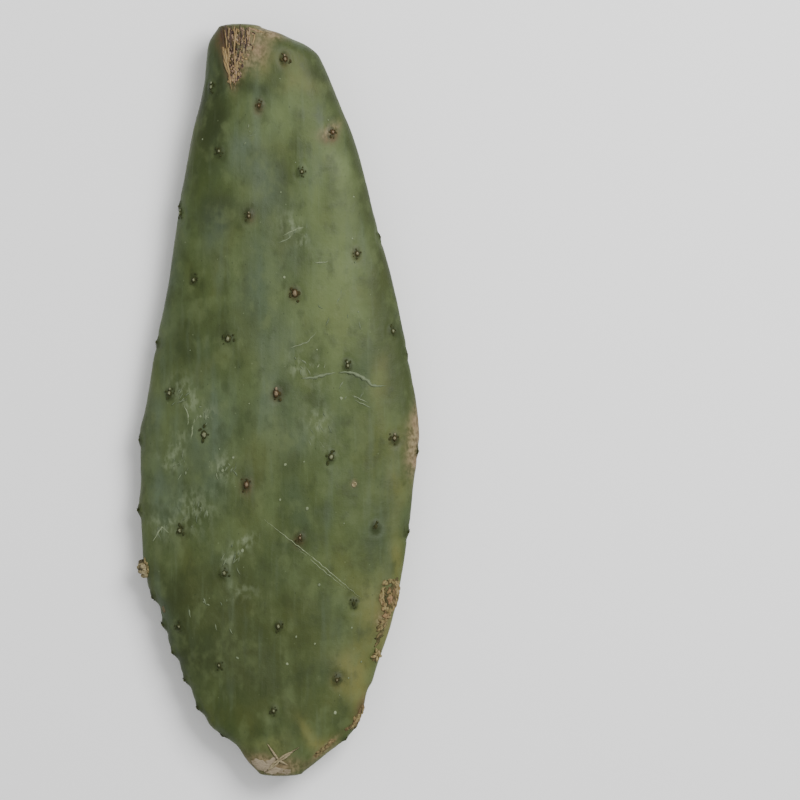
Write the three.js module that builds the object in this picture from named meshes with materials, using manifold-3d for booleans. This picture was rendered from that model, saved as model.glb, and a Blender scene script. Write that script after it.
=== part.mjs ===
// A prickly pear pad: one flattened stem joint of a cactus, picked and lying on its face.
//
// Millimetres, +Z up. The pad lies along Y, with the scar where it grew from its parent at +Y and
// its growing tip at -Y. The origin is on the surface that it rests on, under the middle of its box.
//
// The flesh is one closed skin: a sphere whose rings become the pad's cross-sections, station by
// station from the scar to the tip. The areoles, the small cushions that spines grow from, follow
// the spiral rows that such a stem grows them in. Areoles, spines, scars and torn fibres have their
// roots sunk in the flesh and are joined to it, so the pad is one solid.

import * as THREE from "three";
import { mergeVertices } from "three/addons/utils/BufferGeometryUtils.js";
import Module from "manifold-3d";

const wasm = await Module();
wasm.setup();

// ---- Driving sizes ----------------------------------------------------------------------------

const LENGTH = 320; // from the rim of the base scar to the tip
const BASE_Y = LENGTH / 2;
const TIP_Y = -LENGTH / 2;
const SCAR_BULGE = 0.8; // the base scar swells a little past its rim
const FLAT_SPOT_DEPTH = 0.8; // how much of the belly's bulge is pressed flat where the pad rests

// Points along the pad as [place along Y, value], joined by a smooth curve.
const LEFT_MARGIN = [
  [160, -24.6], [152, -29.4], [135, -31.4], [111, -36.9], [80, -42.4], [50, -46.7], [20, -52.6],
  [0, -55.9], [-15, -58.6], [-45, -58.4], [-68, -57.4], [-77, -54.9], [-91, -48.6], [-101, -46],
  [-110, -42], [-126, -34.8], [-137, -28.8], [-146, -17.8], [-153, -13.2], [-160, -6.4],
];
const RIGHT_MARGIN = [
  [160, -9.8], [159.1, -6.4], [157.9, -3], [157, 0.5], [155.4, 4], [153.8, 7.4], [152.4, 10.8],
  [150.3, 14.2], [147.2, 17.5], [144, 19.2], [141, 20.6], [137, 22.3], [128, 26], [111, 32.9], [80, 41], [50, 49.3], [20, 55.4], [-15, 60.4],
  [-35, 58.2], [-55, 55.8], [-80, 52], [-96, 48.2], [-115, 41.8], [-119.5, 40.4], [-123.8, 38.2],
  [-131, 36.6], [-141, 31.6], [-151, 20.2], [-160, 8.8],
];
const HALF_THICKNESS = [
  [160, 7], [148, 10.4], [125, 12], [85, 12.8], [30, 12.6], [-40, 11.4], [-100, 9.6], [-135, 7.6],
  [-152, 5.2], [-160, 3],
];
const BEND_RISE = 5; // how far the scar end lifts, because the pad is slightly bowed
const BEND_CENTRE_Y = -5;
const SECTION_POWER = 2.5; // 2 is an ellipse; more makes flatter faces and blunter margins

// ---- Small helpers ----------------------------------------------------------------------------

const radians = THREE.MathUtils.degToRad;
const { clamp, lerp, smoothstep } = THREE.MathUtils;

/** A repeatable source of numbers from 0 to 1. */
function seeded(seed) {
  let state = seed;
  return () => {
    state = (state * 1664525 + 1013904223) % 4294967296;
    return state / 4294967296;
  };
}

/** The smooth curve through [place, value] points, without overshoot, read at one place. */
function curveAt(points, place) {
  const rising = points[0][0] < points[points.length - 1][0] ? points : [...points].reverse();
  const last = rising.length - 1;
  const at = clamp(place, rising[0][0], rising[last][0]);
  const chord = (i) => (rising[i + 1][1] - rising[i][1]) / (rising[i + 1][0] - rising[i][0]);
  const slope = (i) => {
    if (i === 0) return chord(0);
    if (i === last) return chord(last - 1);
    const [before, after] = [chord(i - 1), chord(i)];
    return before * after > 0 ? (2 * before * after) / (before + after) : 0;
  };
  let i = 0;
  while (i < last - 1 && at > rising[i + 1][0]) i++;
  const span = rising[i + 1][0] - rising[i][0];
  const t = (at - rising[i][0]) / span;
  const [t2, t3] = [t * t, t * t * t];
  return (
    (2 * t3 - 3 * t2 + 1) * rising[i][1] +
    (t3 - 2 * t2 + t) * span * slope(i) +
    (3 * t2 - 2 * t3) * rising[i + 1][1] +
    (t3 - t2) * span * slope(i + 1)
  );
}

/** A closed three.js geometry as a solid that can be cut and joined. */
function solidFrom(geometry) {
  const bare = geometry.clone();
  bare.deleteAttribute("normal");
  bare.deleteAttribute("uv");
  const merged = mergeVertices(bare, 1e-4);
  const mesh = new wasm.Mesh({
    numProp: 3,
    vertProperties: new Float32Array(merged.attributes.position.array),
    triVerts: new Uint32Array(merged.index.array),
  });
  return new wasm.Manifold(mesh);
}

/** A finished solid as a three.js geometry. */
function geometryFrom(solid) {
  const { vertProperties, triVerts } = solid.getMesh();
  const geometry = new THREE.BufferGeometry();
  geometry.setAttribute("position", new THREE.BufferAttribute(vertProperties, 3));
  geometry.setIndex(new THREE.BufferAttribute(triVerts, 1));
  return geometry.toNonIndexed();
}

// ---- The rows of areoles ----------------------------------------------------------------------

// On the faces, each row climbs round the pad, and drops towards the tip as it goes from the right
// margin (angle 0) over the middle of the upper face (angle 90) to the left margin (angle 180).
const ROW_COUNT = 10;
const FIRST_ROW_Y = 186; // where the first row crosses the middle of the upper face
const FIRST_ROW_GAP = 51;
const ROW_GAP_SHRINK = 0.92; // rows stand closer and closer towards the tip
const FIRST_ROW_DROP = 0.79; // how fast a row drops, in mm per degree
const DROP_SHRINK = 0.88;
const DROP_CURVE = 0.0022; // rows drop faster towards the left margin
const FIRST_AREOLE_TURN = 29.5; // degrees from one areole of the first row to the next
const AREOLE_TURN_GROWTH = 1.2;
const FIRST_ROW_SHIFT = 0.95; // of one such turn
const ROW_SHIFT = 0.285; // each row begins this much of a turn further round than the one before
const MARGIN_BAND = 16; // degrees next to a margin that belong to the margin's own row
const BARE_AT_BASE = 7; // no face areole stands nearer than this to the base scar, or to the tip
const BARE_AT_TIP = 22;

/** The areoles of the two faces, as places {y, angle} with the angle in degrees. */
function faceAreoles() {
  const found = [];
  let [rowY, gap, drop] = [FIRST_ROW_Y, FIRST_ROW_GAP, FIRST_ROW_DROP];
  for (let row = 0; row < ROW_COUNT; row++) {
    const turn = FIRST_AREOLE_TURN + AREOLE_TURN_GROWTH * row;
    const shift = (FIRST_ROW_SHIFT + ROW_SHIFT * row) % 1;
    for (let step = -3; step <= 3; step++) {
      const away = turn * (step + shift); // from the middle of the face
      const y = rowY - drop * away - DROP_CURVE * away * away;
      const onFace = Math.abs(away) < 90 - MARGIN_BAND;
      // The lower face is like the upper, half a gap on.
      const places = [{ y, angle: 90 + away }, { y: y - gap / 2, angle: 270 - away }];
      found.push(...places.filter((place) => onFace && isBetweenBareEnds(place)));
    }
    rowY -= gap;
    gap *= ROW_GAP_SHRINK;
    drop *= DROP_SHRINK;
  }
  return found;
}

function isBetweenBareEnds({ y }) {
  return y < BASE_Y - BARE_AT_BASE && y > TIP_Y + BARE_AT_TIP;
}

const FACE_AREOLES = faceAreoles();
const SWELLING_HEIGHT = 0.5; // the flesh rises a little under each areole
const SWELLING_RADIUS = 7;

// Round corky scars, where fruits and young pads broke off. Each took the place of an areole.
const FRUIT_SCARS = [
  { y: -84, angle: 17, halfWidth: 4.4, halfLength: 9, height: 1.1 },
  { y: -108.5, angle: 14, halfWidth: 3.2, halfLength: 3.6, height: 1.6 },
  { y: -135.5, angle: 12, halfWidth: 3, halfLength: 6, height: 1.1 },
  { y: -72, angle: 173, halfWidth: 2.6, halfLength: 4.4, height: 2.8 },
];
const SCAR_CLEARANCE = 8; // along the pad, from the middle of a fruit scar to the next areole

// Along each margin, one row of areoles, closer and closer towards the tip, each on a low knob.
const MARGIN_ROWS = [
  { side: -1, firstY: 83, gap: 57.9, shrink: 0.72, leastGap: 11.8, knob: 2 },
  { side: 1, firstY: 70, gap: 50, shrink: 0.83, leastGap: 12.5, knob: 0.6 },
];
const MARGIN_END_Y = -152;
const KNOB_TOWARDS_BASE = 6.5; // the knobs are long towards the base and short towards the tip
const KNOB_TOWARDS_TIP = 3;
const KNOB_LEAST_SHARE = 0.2; // knobs near the base are this low, against those near the tip
const KNOBS_GROW = { fromY: 10, toY: -70 };

/** Where the areoles of one margin stand along Y, with none on a fruit scar. */
function marginPlaces({ side, firstY, gap, shrink, leastGap }) {
  const scars = FRUIT_SCARS.filter((scar) => Math.sign(90 - scar.angle) === side);
  const places = [];
  for (let y = firstY, step = gap; y > MARGIN_END_Y; y -= step, step = Math.max(step * shrink, leastGap)) {
    if (scars.every((scar) => Math.abs(scar.y - y) > SCAR_CLEARANCE)) places.push(y);
  }
  return places;
}

const MARGINS = MARGIN_ROWS.map((row) => ({ ...row, places: marginPlaces(row) }));

/** How far the knobs of one margin push it outwards at one place along Y. */
function knobsAt(side, y) {
  const { places, knob } = MARGINS.find((margin) => margin.side === side);
  const grown = smoothstep(-y, -KNOBS_GROW.fromY, -KNOBS_GROW.toY);
  const height = knob * lerp(KNOB_LEAST_SHARE, 1, grown);
  return places.reduce((most, place) => {
    const reach = y > place ? KNOB_TOWARDS_BASE : KNOB_TOWARDS_TIP;
    return Math.max(most, height * Math.exp(-(((y - place) / reach) ** 2)));
  }, 0);
}

// ---- The flesh --------------------------------------------------------------------------------

/** One cross-section of the flesh: its middle, half its width and half its thickness. */
function sectionAt(y) {
  const left = curveAt(LEFT_MARGIN, y) - knobsAt(-1, y);
  const right = curveAt(RIGHT_MARGIN, y) + knobsAt(1, y);
  const halfThickness = curveAt(HALF_THICKNESS, y);
  const bend = BEND_RISE * ((y - BEND_CENTRE_Y) / BASE_Y) ** 2;
  return {
    middleX: (left + right) / 2,
    halfWidth: (right - left) / 2,
    halfThickness,
    middleZ: bend,
  };
}

/** The height of a section over its middle plane, where across runs from -1 to 1. */
function sectionHeight(across) {
  return Math.sqrt(Math.max(0, 1 - Math.abs(across) ** SECTION_POWER));
}

/** Soft unevenness of the skin, from grown-in waves, in millimetres. */
function unevenness(x, y, face) {
  const drift = face * 1.7;
  return (
    0.32 * Math.sin(x / 13 + y / 31 + drift) +
    0.26 * Math.sin(x / 22 - y / 17 + 2.1 * drift) +
    0.16 * Math.sin(x / 7.5 + y / 11 + 0.6 + drift)
  );
}

/** The skin's point where the section at y is cut at across (-1 left, 1 right) on one face. */
function skinPoint(y, across, face, out = 1) {
  const { middleX, halfWidth, halfThickness, middleZ } = sectionAt(y);
  const x = middleX + halfWidth * across * out;
  const rise = sectionHeight(across);
  let height = halfThickness * rise;
  height += rise * unevenness(x, y, face);
  for (const areole of FACE_AREOLES) {
    if (Math.sign(180 - areole.angle) !== face || Math.abs(areole.y - y) > 2 * SWELLING_RADIUS) continue;
    const there = sectionAt(areole.y);
    const areoleX = there.middleX + there.halfWidth * Math.cos(radians(areole.angle));
    const away = ((x - areoleX) ** 2 + (y - areole.y) ** 2) / SWELLING_RADIUS ** 2;
    height += rise * SWELLING_HEIGHT * Math.exp(-2.5 * away);
  }
  return new THREE.Vector3(x, y, middleZ + face * height * out);
}

/** The skin's point, outward direction and direction along the pad, for what grows there. */
function skinFrame(y, angle) {
  const at = (degrees, place) =>
    skinPoint(place, Math.cos(radians(degrees)), Math.sin(radians(degrees)) < 0 ? -1 : 1);
  const step = 2; // in millimetres along the pad, and in degrees round it
  const along = at(angle, y + step).sub(at(angle, y - step)).normalize();
  const round = at(angle + step, y).sub(at(angle - step, y)).normalize();
  const normal = new THREE.Vector3().crossVectors(round, along).negate().normalize();
  return { point: at(angle, y), normal, along };
}

const STATIONS = 70; // rings between the two poles
const AROUND = 36;
const SCAR_RINGS = 2; // rings that close the base over the scar
const ROUNDING = 0.45; // how much more closely the rings' points stand near the margins
const WIDE_STEPS = 1.14; // steps of the upper half against an even spread; the knobs need short ones
const END_CROWDING = 0.05; // how much closer the rings stand at both ends

/** Where each ring stands along Y, which section it takes, and how far out of its middle it goes. */
function ringPlace(ring) {
  if (ring <= SCAR_RINGS) {
    const out = ring / (SCAR_RINGS + 1);
    return { y: BASE_Y + SCAR_BULGE * (1 - out ** 2), section: BASE_Y, out };
  }
  if (ring === STATIONS) return { y: TIP_Y, section: TIP_Y, out: 0 };
  const share = (ring - SCAR_RINGS - 1) / (STATIONS - SCAR_RINGS - 2);
  const narrowSteps = 2 - WIDE_STEPS;
  const eased = share < 0.5 ? WIDE_STEPS * share : 1 - narrowSteps * (1 - share);
  const y = lerp(BASE_Y, TIP_Y, eased - END_CROWDING * Math.sin(2 * Math.PI * share));
  return { y, section: y, out: 1 };
}

/** The flesh: a sphere with its poles on Y, whose rings are laid out as the pad's sections. */
function fleshGeometry() {
  const geometry = new THREE.SphereGeometry(1, AROUND, STATIONS);
  const { position } = geometry.attributes;
  const columns = AROUND + 1;
  for (let i = 0; i < position.count; i++) {
    const { y, section, out } = ringPlace(Math.floor(i / columns));
    const turn = (4 * (i % columns)) / AROUND; // quarter turns from the left margin, over the top
    const face = turn < 2 ? 1 : -1;
    const linear = face > 0 ? turn - 1 : 3 - turn;
    const across = lerp(linear, Math.sin((linear * Math.PI) / 2), ROUNDING);
    const { x, z } = skinPoint(section, across, face, out);
    position.setXYZ(i, x, y, z);
  }
  return geometry;
}

// ---- What grows on the flesh ------------------------------------------------------------------

const AREOLE_SIDES = 6;
const AREOLE_PROFILE = [[0, -1.1], [1.8, -1.1], [1.6, 0.35], [0.55, 1.1], [0, 1.25]]; // [radius, height]
const AREOLE_LENGTHENING = 1.3; // areoles are oval, longer along the pad
const AREOLE_SIZE_SPREAD = 0.2;
const MARGIN_AREOLE_HEIGHT = 0.6; // they are flatter on the margins, where they rub off
const MARGIN_AREOLE_ANGLE = 6; // and stand just over the rim, on the upper face

/** A profile of [radius, height] points turned round the Z axis. */
function turned(profile, sides) {
  const points = profile.map(([radius, height]) => new THREE.Vector2(radius, height));
  return new THREE.LatheGeometry(points, sides).rotateX(Math.PI / 2);
}

/** Stands a geometry, made upright round Z, on the skin: its Z outwards, its Y along the pad. */
function standOn(geometry, { point, normal, along }) {
  const side = new THREE.Vector3().crossVectors(along, normal).normalize();
  const forward = new THREE.Vector3().crossVectors(normal, side);
  const basis = new THREE.Matrix4().makeBasis(side, forward, normal).setPosition(point);
  return geometry.applyMatrix4(basis);
}

function areoles() {
  const random = seeded(7);
  const onFaces = FACE_AREOLES.map((place) => ({ ...place, height: 1 }));
  const onMargins = MARGINS.flatMap(({ side, places }) => {
    const angle = side > 0 ? MARGIN_AREOLE_ANGLE : 180 - MARGIN_AREOLE_ANGLE;
    return places.map((y) => ({ y, angle, height: MARGIN_AREOLE_HEIGHT }));
  });
  return [...onFaces, ...onMargins].map(({ y, angle, height }) => {
    const size = 1 + AREOLE_SIZE_SPREAD * (2 * random() - 1);
    const geometry = turned(AREOLE_PROFILE, AREOLE_SIDES);
    return standOn(geometry.scale(size, size * AREOLE_LENGTHENING, size * height), skinFrame(y, angle));
  });
}

const CRATER_PROFILE = [[0, -2.2], [0.8, -2.2], [1, 0.1], [0.86, 0.8], [0.6, 0.55], [0, 0.1]];
const CRATER_SIDES = 10;

function fruitScars() {
  return FRUIT_SCARS.map(({ y, angle, halfWidth, halfLength, height }) =>
    standOn(turned(CRATER_PROFILE, CRATER_SIDES).scale(halfWidth, halfLength, height), skinFrame(y, angle)),
  );
}

/** A straight tapered stick from one point to another, thick at its root. */
function taperedStick(from, to, rootRadius, tipRadius) {
  const run = new THREE.Vector3().subVectors(to, from);
  const stick = new THREE.CylinderGeometry(tipRadius, rootRadius, run.length(), STICK_SIDES);
  stick.translate(0, run.length() / 2, 0);
  const upright = new THREE.Vector3(0, 1, 0);
  stick.applyQuaternion(new THREE.Quaternion().setFromUnitVectors(upright, run.normalize()));
  return stick.translate(from.x, from.y, from.z);
}

// Four spines lie crossed over the corky patch at the tip.
const SPINE_ROOT_RADIUS = 0.7;
const SPINE_TIP_RADIUS = 0.15;
const STICK_SIDES = 5;
const TIP_AREOLE = { x: 0.8, y: -153.2 };
const TIP_SPINES = [
  { heading: 124, length: 8.6, rise: 0.6 },
  { heading: 33, length: 10.4, rise: 0.4 },
  { heading: 222, length: 8.2, rise: 0.2 },
  { heading: 334, length: 4.2, rise: 0.5 },
];

/** The height of the upper skin over one place. */
function topHeight(x, y) {
  const { middleX, halfWidth } = sectionAt(y);
  return skinPoint(y, clamp((x - middleX) / halfWidth, -1, 1), 1).z;
}

function tipSpines() {
  const { x, y } = TIP_AREOLE;
  const root = new THREE.Vector3(x, y, topHeight(x, y) + 0.1);
  return TIP_SPINES.map(({ heading, length, rise }) => {
    const [dx, dy] = [Math.cos(radians(heading)), Math.sin(radians(heading))];
    const halfway = topHeight(x + 0.5 * length * dx, y + 0.5 * length * dy) - root.z;
    const end = new THREE.Vector3(x + length * dx, y + length * dy, root.z + 2 * halfway + rise);
    return taperedStick(root, end, SPINE_ROOT_RADIUS, SPINE_TIP_RADIUS);
  });
}

// Torn woody fibres run down the upper face from the base scar and draw together to a point.
const FIBRES = { count: 8, fromX: -25, toX: -8, meetX: -17, meetSpread: 0.3, endY: 129, shortest: 0.35 };
const FIBRE_ROOT = { radius: 1.15, depth: 0.5 }; // the depth is how far its middle is under the skin
const FIBRE_TIP = { radius: 0.4, depth: 0.2 };
const FIBRE_INSET = 0.6; // from the rim of the base scar to where the fibres start

function tornFibres() {
  const { count, fromX, toX, meetX, meetSpread, endY, shortest } = FIBRES;
  const random = seeded(3);
  const onSkin = (x, y, depth) => new THREE.Vector3(x, y, topHeight(x, y) - depth);
  return Array.from({ length: count }, (_, i) => {
    const share = i / (count - 1);
    const fromMiddle = Math.abs(2 * share - 1);
    const startX = lerp(fromX, toX, share);
    const endX = lerp(meetX, startX, meetSpread);
    const reach = lerp(1, shortest, fromMiddle * lerp(0.6, 1, random()));
    const start = onSkin(startX, BASE_Y - FIBRE_INSET, FIBRE_ROOT.depth);
    const end = onSkin(endX, lerp(BASE_Y, endY, reach), FIBRE_TIP.depth);
    return taperedStick(start, end, FIBRE_ROOT.radius, FIBRE_TIP.radius);
  });
}

// ---- The whole pad ----------------------------------------------------------------------------

/** Everything joined into one solid, its belly cut flat where it rests, over the middle of its box. */
function padSolid() {
  const flesh = solidFrom(fleshGeometry());
  const grown = [...areoles(), ...fruitScars(), ...tipSpines(), ...tornFibres()].map(solidFrom);
  const whole = grown.reduce((sum, piece) => sum.add(piece), flesh);
  const restingZ = flesh.boundingBox().min[2] + FLAT_SPOT_DEPTH;
  const below = new THREE.BoxGeometry(2 * LENGTH, 2 * LENGTH, LENGTH);
  below.translate(0, 0, restingZ - LENGTH / 2);
  const cut = whole.subtract(solidFrom(below));
  const { min, max } = cut.boundingBox();
  return cut.translate([-(min[0] + max[0]) / 2, -(min[1] + max[1]) / 2, -restingZ]);
}

const skin = new THREE.MeshStandardMaterial({ color: 0x5f6b47, roughness: 0.62, metalness: 0 });
const pad = new THREE.Mesh(geometryFrom(padSolid()), skin);
pad.name = "pad";

const plant = new THREE.Group();
plant.add(pad);
export default plant;
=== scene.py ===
"""A prickly pear pad, picked and lying on its face, with its grown surface in full.

The flesh follows one rule: an outline and a thickness along the pad, and blunt cross-sections.
Areoles stand on it in spiral rows, and scars, spines and torn fibres where the pad has them.
Sizes and places are in millimetres until a mesh is finished, and in metres in the mesh. Y runs
along the pad, from its growing tip (-) to the scar at its base (+), and +Z is up.
"""

from __future__ import annotations

import logging
import math
import random
from collections import defaultdict
from dataclasses import dataclass, field
from enum import Enum
from typing import Any

import bmesh
import bpy
import numpy as np
from mathutils import Matrix, Vector, noise

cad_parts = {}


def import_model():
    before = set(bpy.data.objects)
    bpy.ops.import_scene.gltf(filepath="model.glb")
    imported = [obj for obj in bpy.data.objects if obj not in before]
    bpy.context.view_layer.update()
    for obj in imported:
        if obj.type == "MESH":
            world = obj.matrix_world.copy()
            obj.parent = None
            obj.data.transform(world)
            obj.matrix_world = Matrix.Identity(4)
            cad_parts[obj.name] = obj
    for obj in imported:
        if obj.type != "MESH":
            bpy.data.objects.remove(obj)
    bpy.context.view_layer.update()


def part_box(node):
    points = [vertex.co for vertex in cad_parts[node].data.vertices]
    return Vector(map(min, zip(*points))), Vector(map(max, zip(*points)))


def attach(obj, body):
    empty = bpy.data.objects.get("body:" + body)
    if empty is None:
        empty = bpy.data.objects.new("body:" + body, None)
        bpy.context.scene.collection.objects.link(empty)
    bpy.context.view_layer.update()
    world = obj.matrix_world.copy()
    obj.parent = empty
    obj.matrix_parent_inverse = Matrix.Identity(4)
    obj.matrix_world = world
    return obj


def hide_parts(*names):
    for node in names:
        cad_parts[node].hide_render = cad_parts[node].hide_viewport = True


LOG = logging.getLogger("prickly_pear_pad")

MM = 0.001
UPPER, LOWER = 1, -1
BODY = "root"
NODE = "pad"

Pair = tuple[float, float]
Triple = tuple[float, float, float]
Points = tuple[Pair, ...]
Scuff = tuple[float, float, float, int]

EVEN: Triple = (1, 1, 1)


# ---- The form of the pad ----------------------------------------------------------------------


@dataclass(frozen=True)
class Curve:
    """A smooth curve through (place, value) points that never overshoots them.

    Attributes:
        points: The points, in any order along the pad.
    """

    points: Points

    def at(self, place: np.ndarray | float) -> np.ndarray:
        """Reads the curve.

        Args:
            place: One place along the pad, or an array of them.

        Returns:
            The curve's value at each place.
        """
        places, values = np.array(sorted(self.points)).T
        chords = np.diff(values) / np.diff(places)
        before, after = chords[:-1], chords[1:]
        same_way = before * after > 0
        total = np.where(same_way, before + after, 1.0)
        inner = np.where(same_way, 2 * before * after / total, 0.0)
        slopes = np.concatenate([chords[:1], inner, chords[-1:]])
        at = np.clip(place, places[0], places[-1])
        i = np.clip(np.searchsorted(places, at) - 1, 0, len(chords) - 1)
        span = places[i + 1] - places[i]
        t = (at - places[i]) / span
        from_left = (2 * t**3 - 3 * t**2 + 1) * values[i] + (t**3 - 2 * t**2 + t) * span * slopes[i]
        from_right = (3 * t**2 - 2 * t**3) * values[i + 1] + (t**3 - t**2) * span * slopes[i + 1]
        return from_left + from_right


@dataclass(frozen=True)
class Place:
    """A place on the skin.

    Attributes:
        y: How far along the pad.
        angle: Degrees round it: 0 is the right margin, 90 the top, 180 the left margin.
    """

    y: float
    angle: float


# Where fruits and young pads broke off, so that no areole stands there.
FRUIT_SCARS = (Place(-84, 17), Place(-108.5, 14), Place(-135.5, 12), Place(-72, 173))


@dataclass(frozen=True)
class MarginRow:
    """The row of areoles along one margin, closer and closer towards the tip.

    Attributes:
        side: -1 for the left margin, 1 for the right.
        first_y: Where the row begins.
        gap: The first gap between two areoles.
        shrink: Each gap against the one before.
        least_gap: The smallest gap.
        knob: How far the knob under an areole stands out near the tip.
        end_y: Where the row ends.
        scar_clearance: How far along the pad its areoles keep from a fruit scar.
    """

    side: int
    first_y: float
    gap: float
    shrink: float
    least_gap: float
    knob: float
    end_y: float = -152
    scar_clearance: float = 8

    def places(self) -> list[float]:
        """Gives where the areoles stand along the pad, with none on a fruit scar."""
        scars = [scar for scar in FRUIT_SCARS if (90 - scar.angle) * self.side > 0]
        found = []
        y, step = self.first_y, self.gap
        while y > self.end_y:
            if all(abs(scar.y - y) > self.scar_clearance for scar in scars):
                found.append(y)
            y -= step
            step = max(step * self.shrink, self.least_gap)
        return found


@dataclass(frozen=True)
class FaceRows:
    """The spiral rows of areoles on the lower face.

    A row drops towards the tip as it runs from one margin over the face to the other.

    Attributes:
        count: How many rows there are.
        first_y: Where the first row begins, which is off the pad.
        first_gap: The gap from the first row to the next.
        gap_shrink: Each gap against the one before.
        first_drop: How far the first row drops for each degree round the pad.
        drop_shrink: Each row's drop against that of the row before.
        drop_curve: How much faster a row drops far from its middle.
        first_turn: Degrees between two areoles of the first row.
        turn_growth: How much further apart they are in each row after it.
        first_shift: How far the first row is moved aside, as a share of its turn.
        row_shift: How much further each row after it is moved.
        steps_aside: How many areoles are tried on each side of a row's middle.
        margin_band: Degrees next to each margin that the rows leave out.
        bare_at_base: How far they keep from the base scar.
        bare_at_tip: How far they keep from the tip.
    """

    count: int = 10
    first_y: float = 186
    first_gap: float = 51
    gap_shrink: float = 0.92
    first_drop: float = 0.79
    drop_shrink: float = 0.88
    drop_curve: float = 0.0022
    first_turn: float = 29.5
    turn_growth: float = 1.2
    first_shift: float = 0.95
    row_shift: float = 0.285
    steps_aside: int = 3
    margin_band: float = 16
    bare_at_base: float = 7
    bare_at_tip: float = 22

    def places(self, half_length: float) -> list[Place]:
        """Gives the places of the lower face's areoles.

        Args:
            half_length: Half the pad's length.

        Returns:
            Their places, row by row.
        """
        found = []
        row_y, gap, drop = self.first_y, self.first_gap, self.first_drop
        for row in range(self.count):
            turn = self.first_turn + self.turn_growth * row
            shift = (self.first_shift + self.row_shift * row) % 1
            for step in range(-self.steps_aside, self.steps_aside + 1):
                away = turn * (step + shift)
                y = row_y - drop * away - self.drop_curve * away * away - gap / 2
                is_bare = not -half_length + self.bare_at_tip < y < half_length - self.bare_at_base
                if abs(away) < 90 - self.margin_band and not is_bare:
                    found.append(Place(y, 270 - away))
            row_y -= gap
            gap *= self.gap_shrink
            drop *= self.drop_shrink
        return found


@dataclass
class Spot:
    """Something's place on the skin as vectors: its point, outward direction and along the pad."""

    point: Vector
    out: Vector
    along: Vector

    def matrix(self) -> Matrix:
        """Gives the transform that stands a shape here, its Z outwards and its Y along the pad."""
        side = self.along.cross(self.out).normalized()
        forward = self.out.cross(side)
        turned = Matrix((side, forward, self.out)).transposed().to_4x4()
        return Matrix.Translation(self.point) @ turned


@dataclass(frozen=True)
class Bud:
    """One areole of the upper face.

    Attributes:
        x: Its middle across the pad.
        y: Its middle along the pad.
        stub: The radius of its spine stub, or 0 where the spine fell off.
        rust: 0 is green-brown felt and 1 is rust-brown.
        stubs: How many stubs it has, one above the other.
    """

    x: float
    y: float
    stub: float
    rust: float = 0.1
    stubs: int = 1


# The areoles of the upper face, row by row from the right margin to the left: x and y from above.
UPPER_BUDS = (
    Bud(3.3, 144.9, 0.55, 0.8, 2), Bud(-7.9, 125.1, 0.3, 0.9), Bud(-25, 105.9, 0.5),
    Bud(-41.6, 79.5, 0.5, 0, 2), Bud(-28.4, 133.3, 0.6, 0, 2), Bud(23.3, 114, 0.5, 1),
    Bud(10.3, 97, 0.4, 0.2), Bud(-12.2, 78.2, 0.45, 0.5, 2), Bud(-35.7, 51.1, 0.5),
    Bud(33.7, 62.3, 0.55, 0.4), Bud(7.4, 45.4, 0.95, 0.8), Bud(-21.1, 26.1, 0.75),
    Bud(-46.1, 3, 0.6, 0.1, 2), Bud(49, 29.4, 0.55), Bud(29.7, 14.6, 0.5, 0.1, 2),
    Bud(-0.6, 2.8, 0.85, 0.9, 2), Bud(-31.5, -14.7, 0.85), Bud(49.7, -16.2, 0.6, 0.5, 2),
    Bud(22.8, -24.2, 0.75), Bud(-13.3, -36, 0.75, 0.9), Bud(-41.8, -55.6, 0.6),
    Bud(41.7, -53.9, 0, 0.2), Bud(9.4, -58.7, 0.4, 0.8, 2), Bud(-22.8, -73.7, 0.6),
    Bud(-42.2, -96.5, 0.4), Bud(32.3, -86.7, 0), Bud(0.2, -96.3, 0.6), Bud(-24.9, -112.9, 0.4),
    Bud(25.3, -119.2, 0.35, 0.4), Bud(-1.9, -132.3, 0.5),
)


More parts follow.
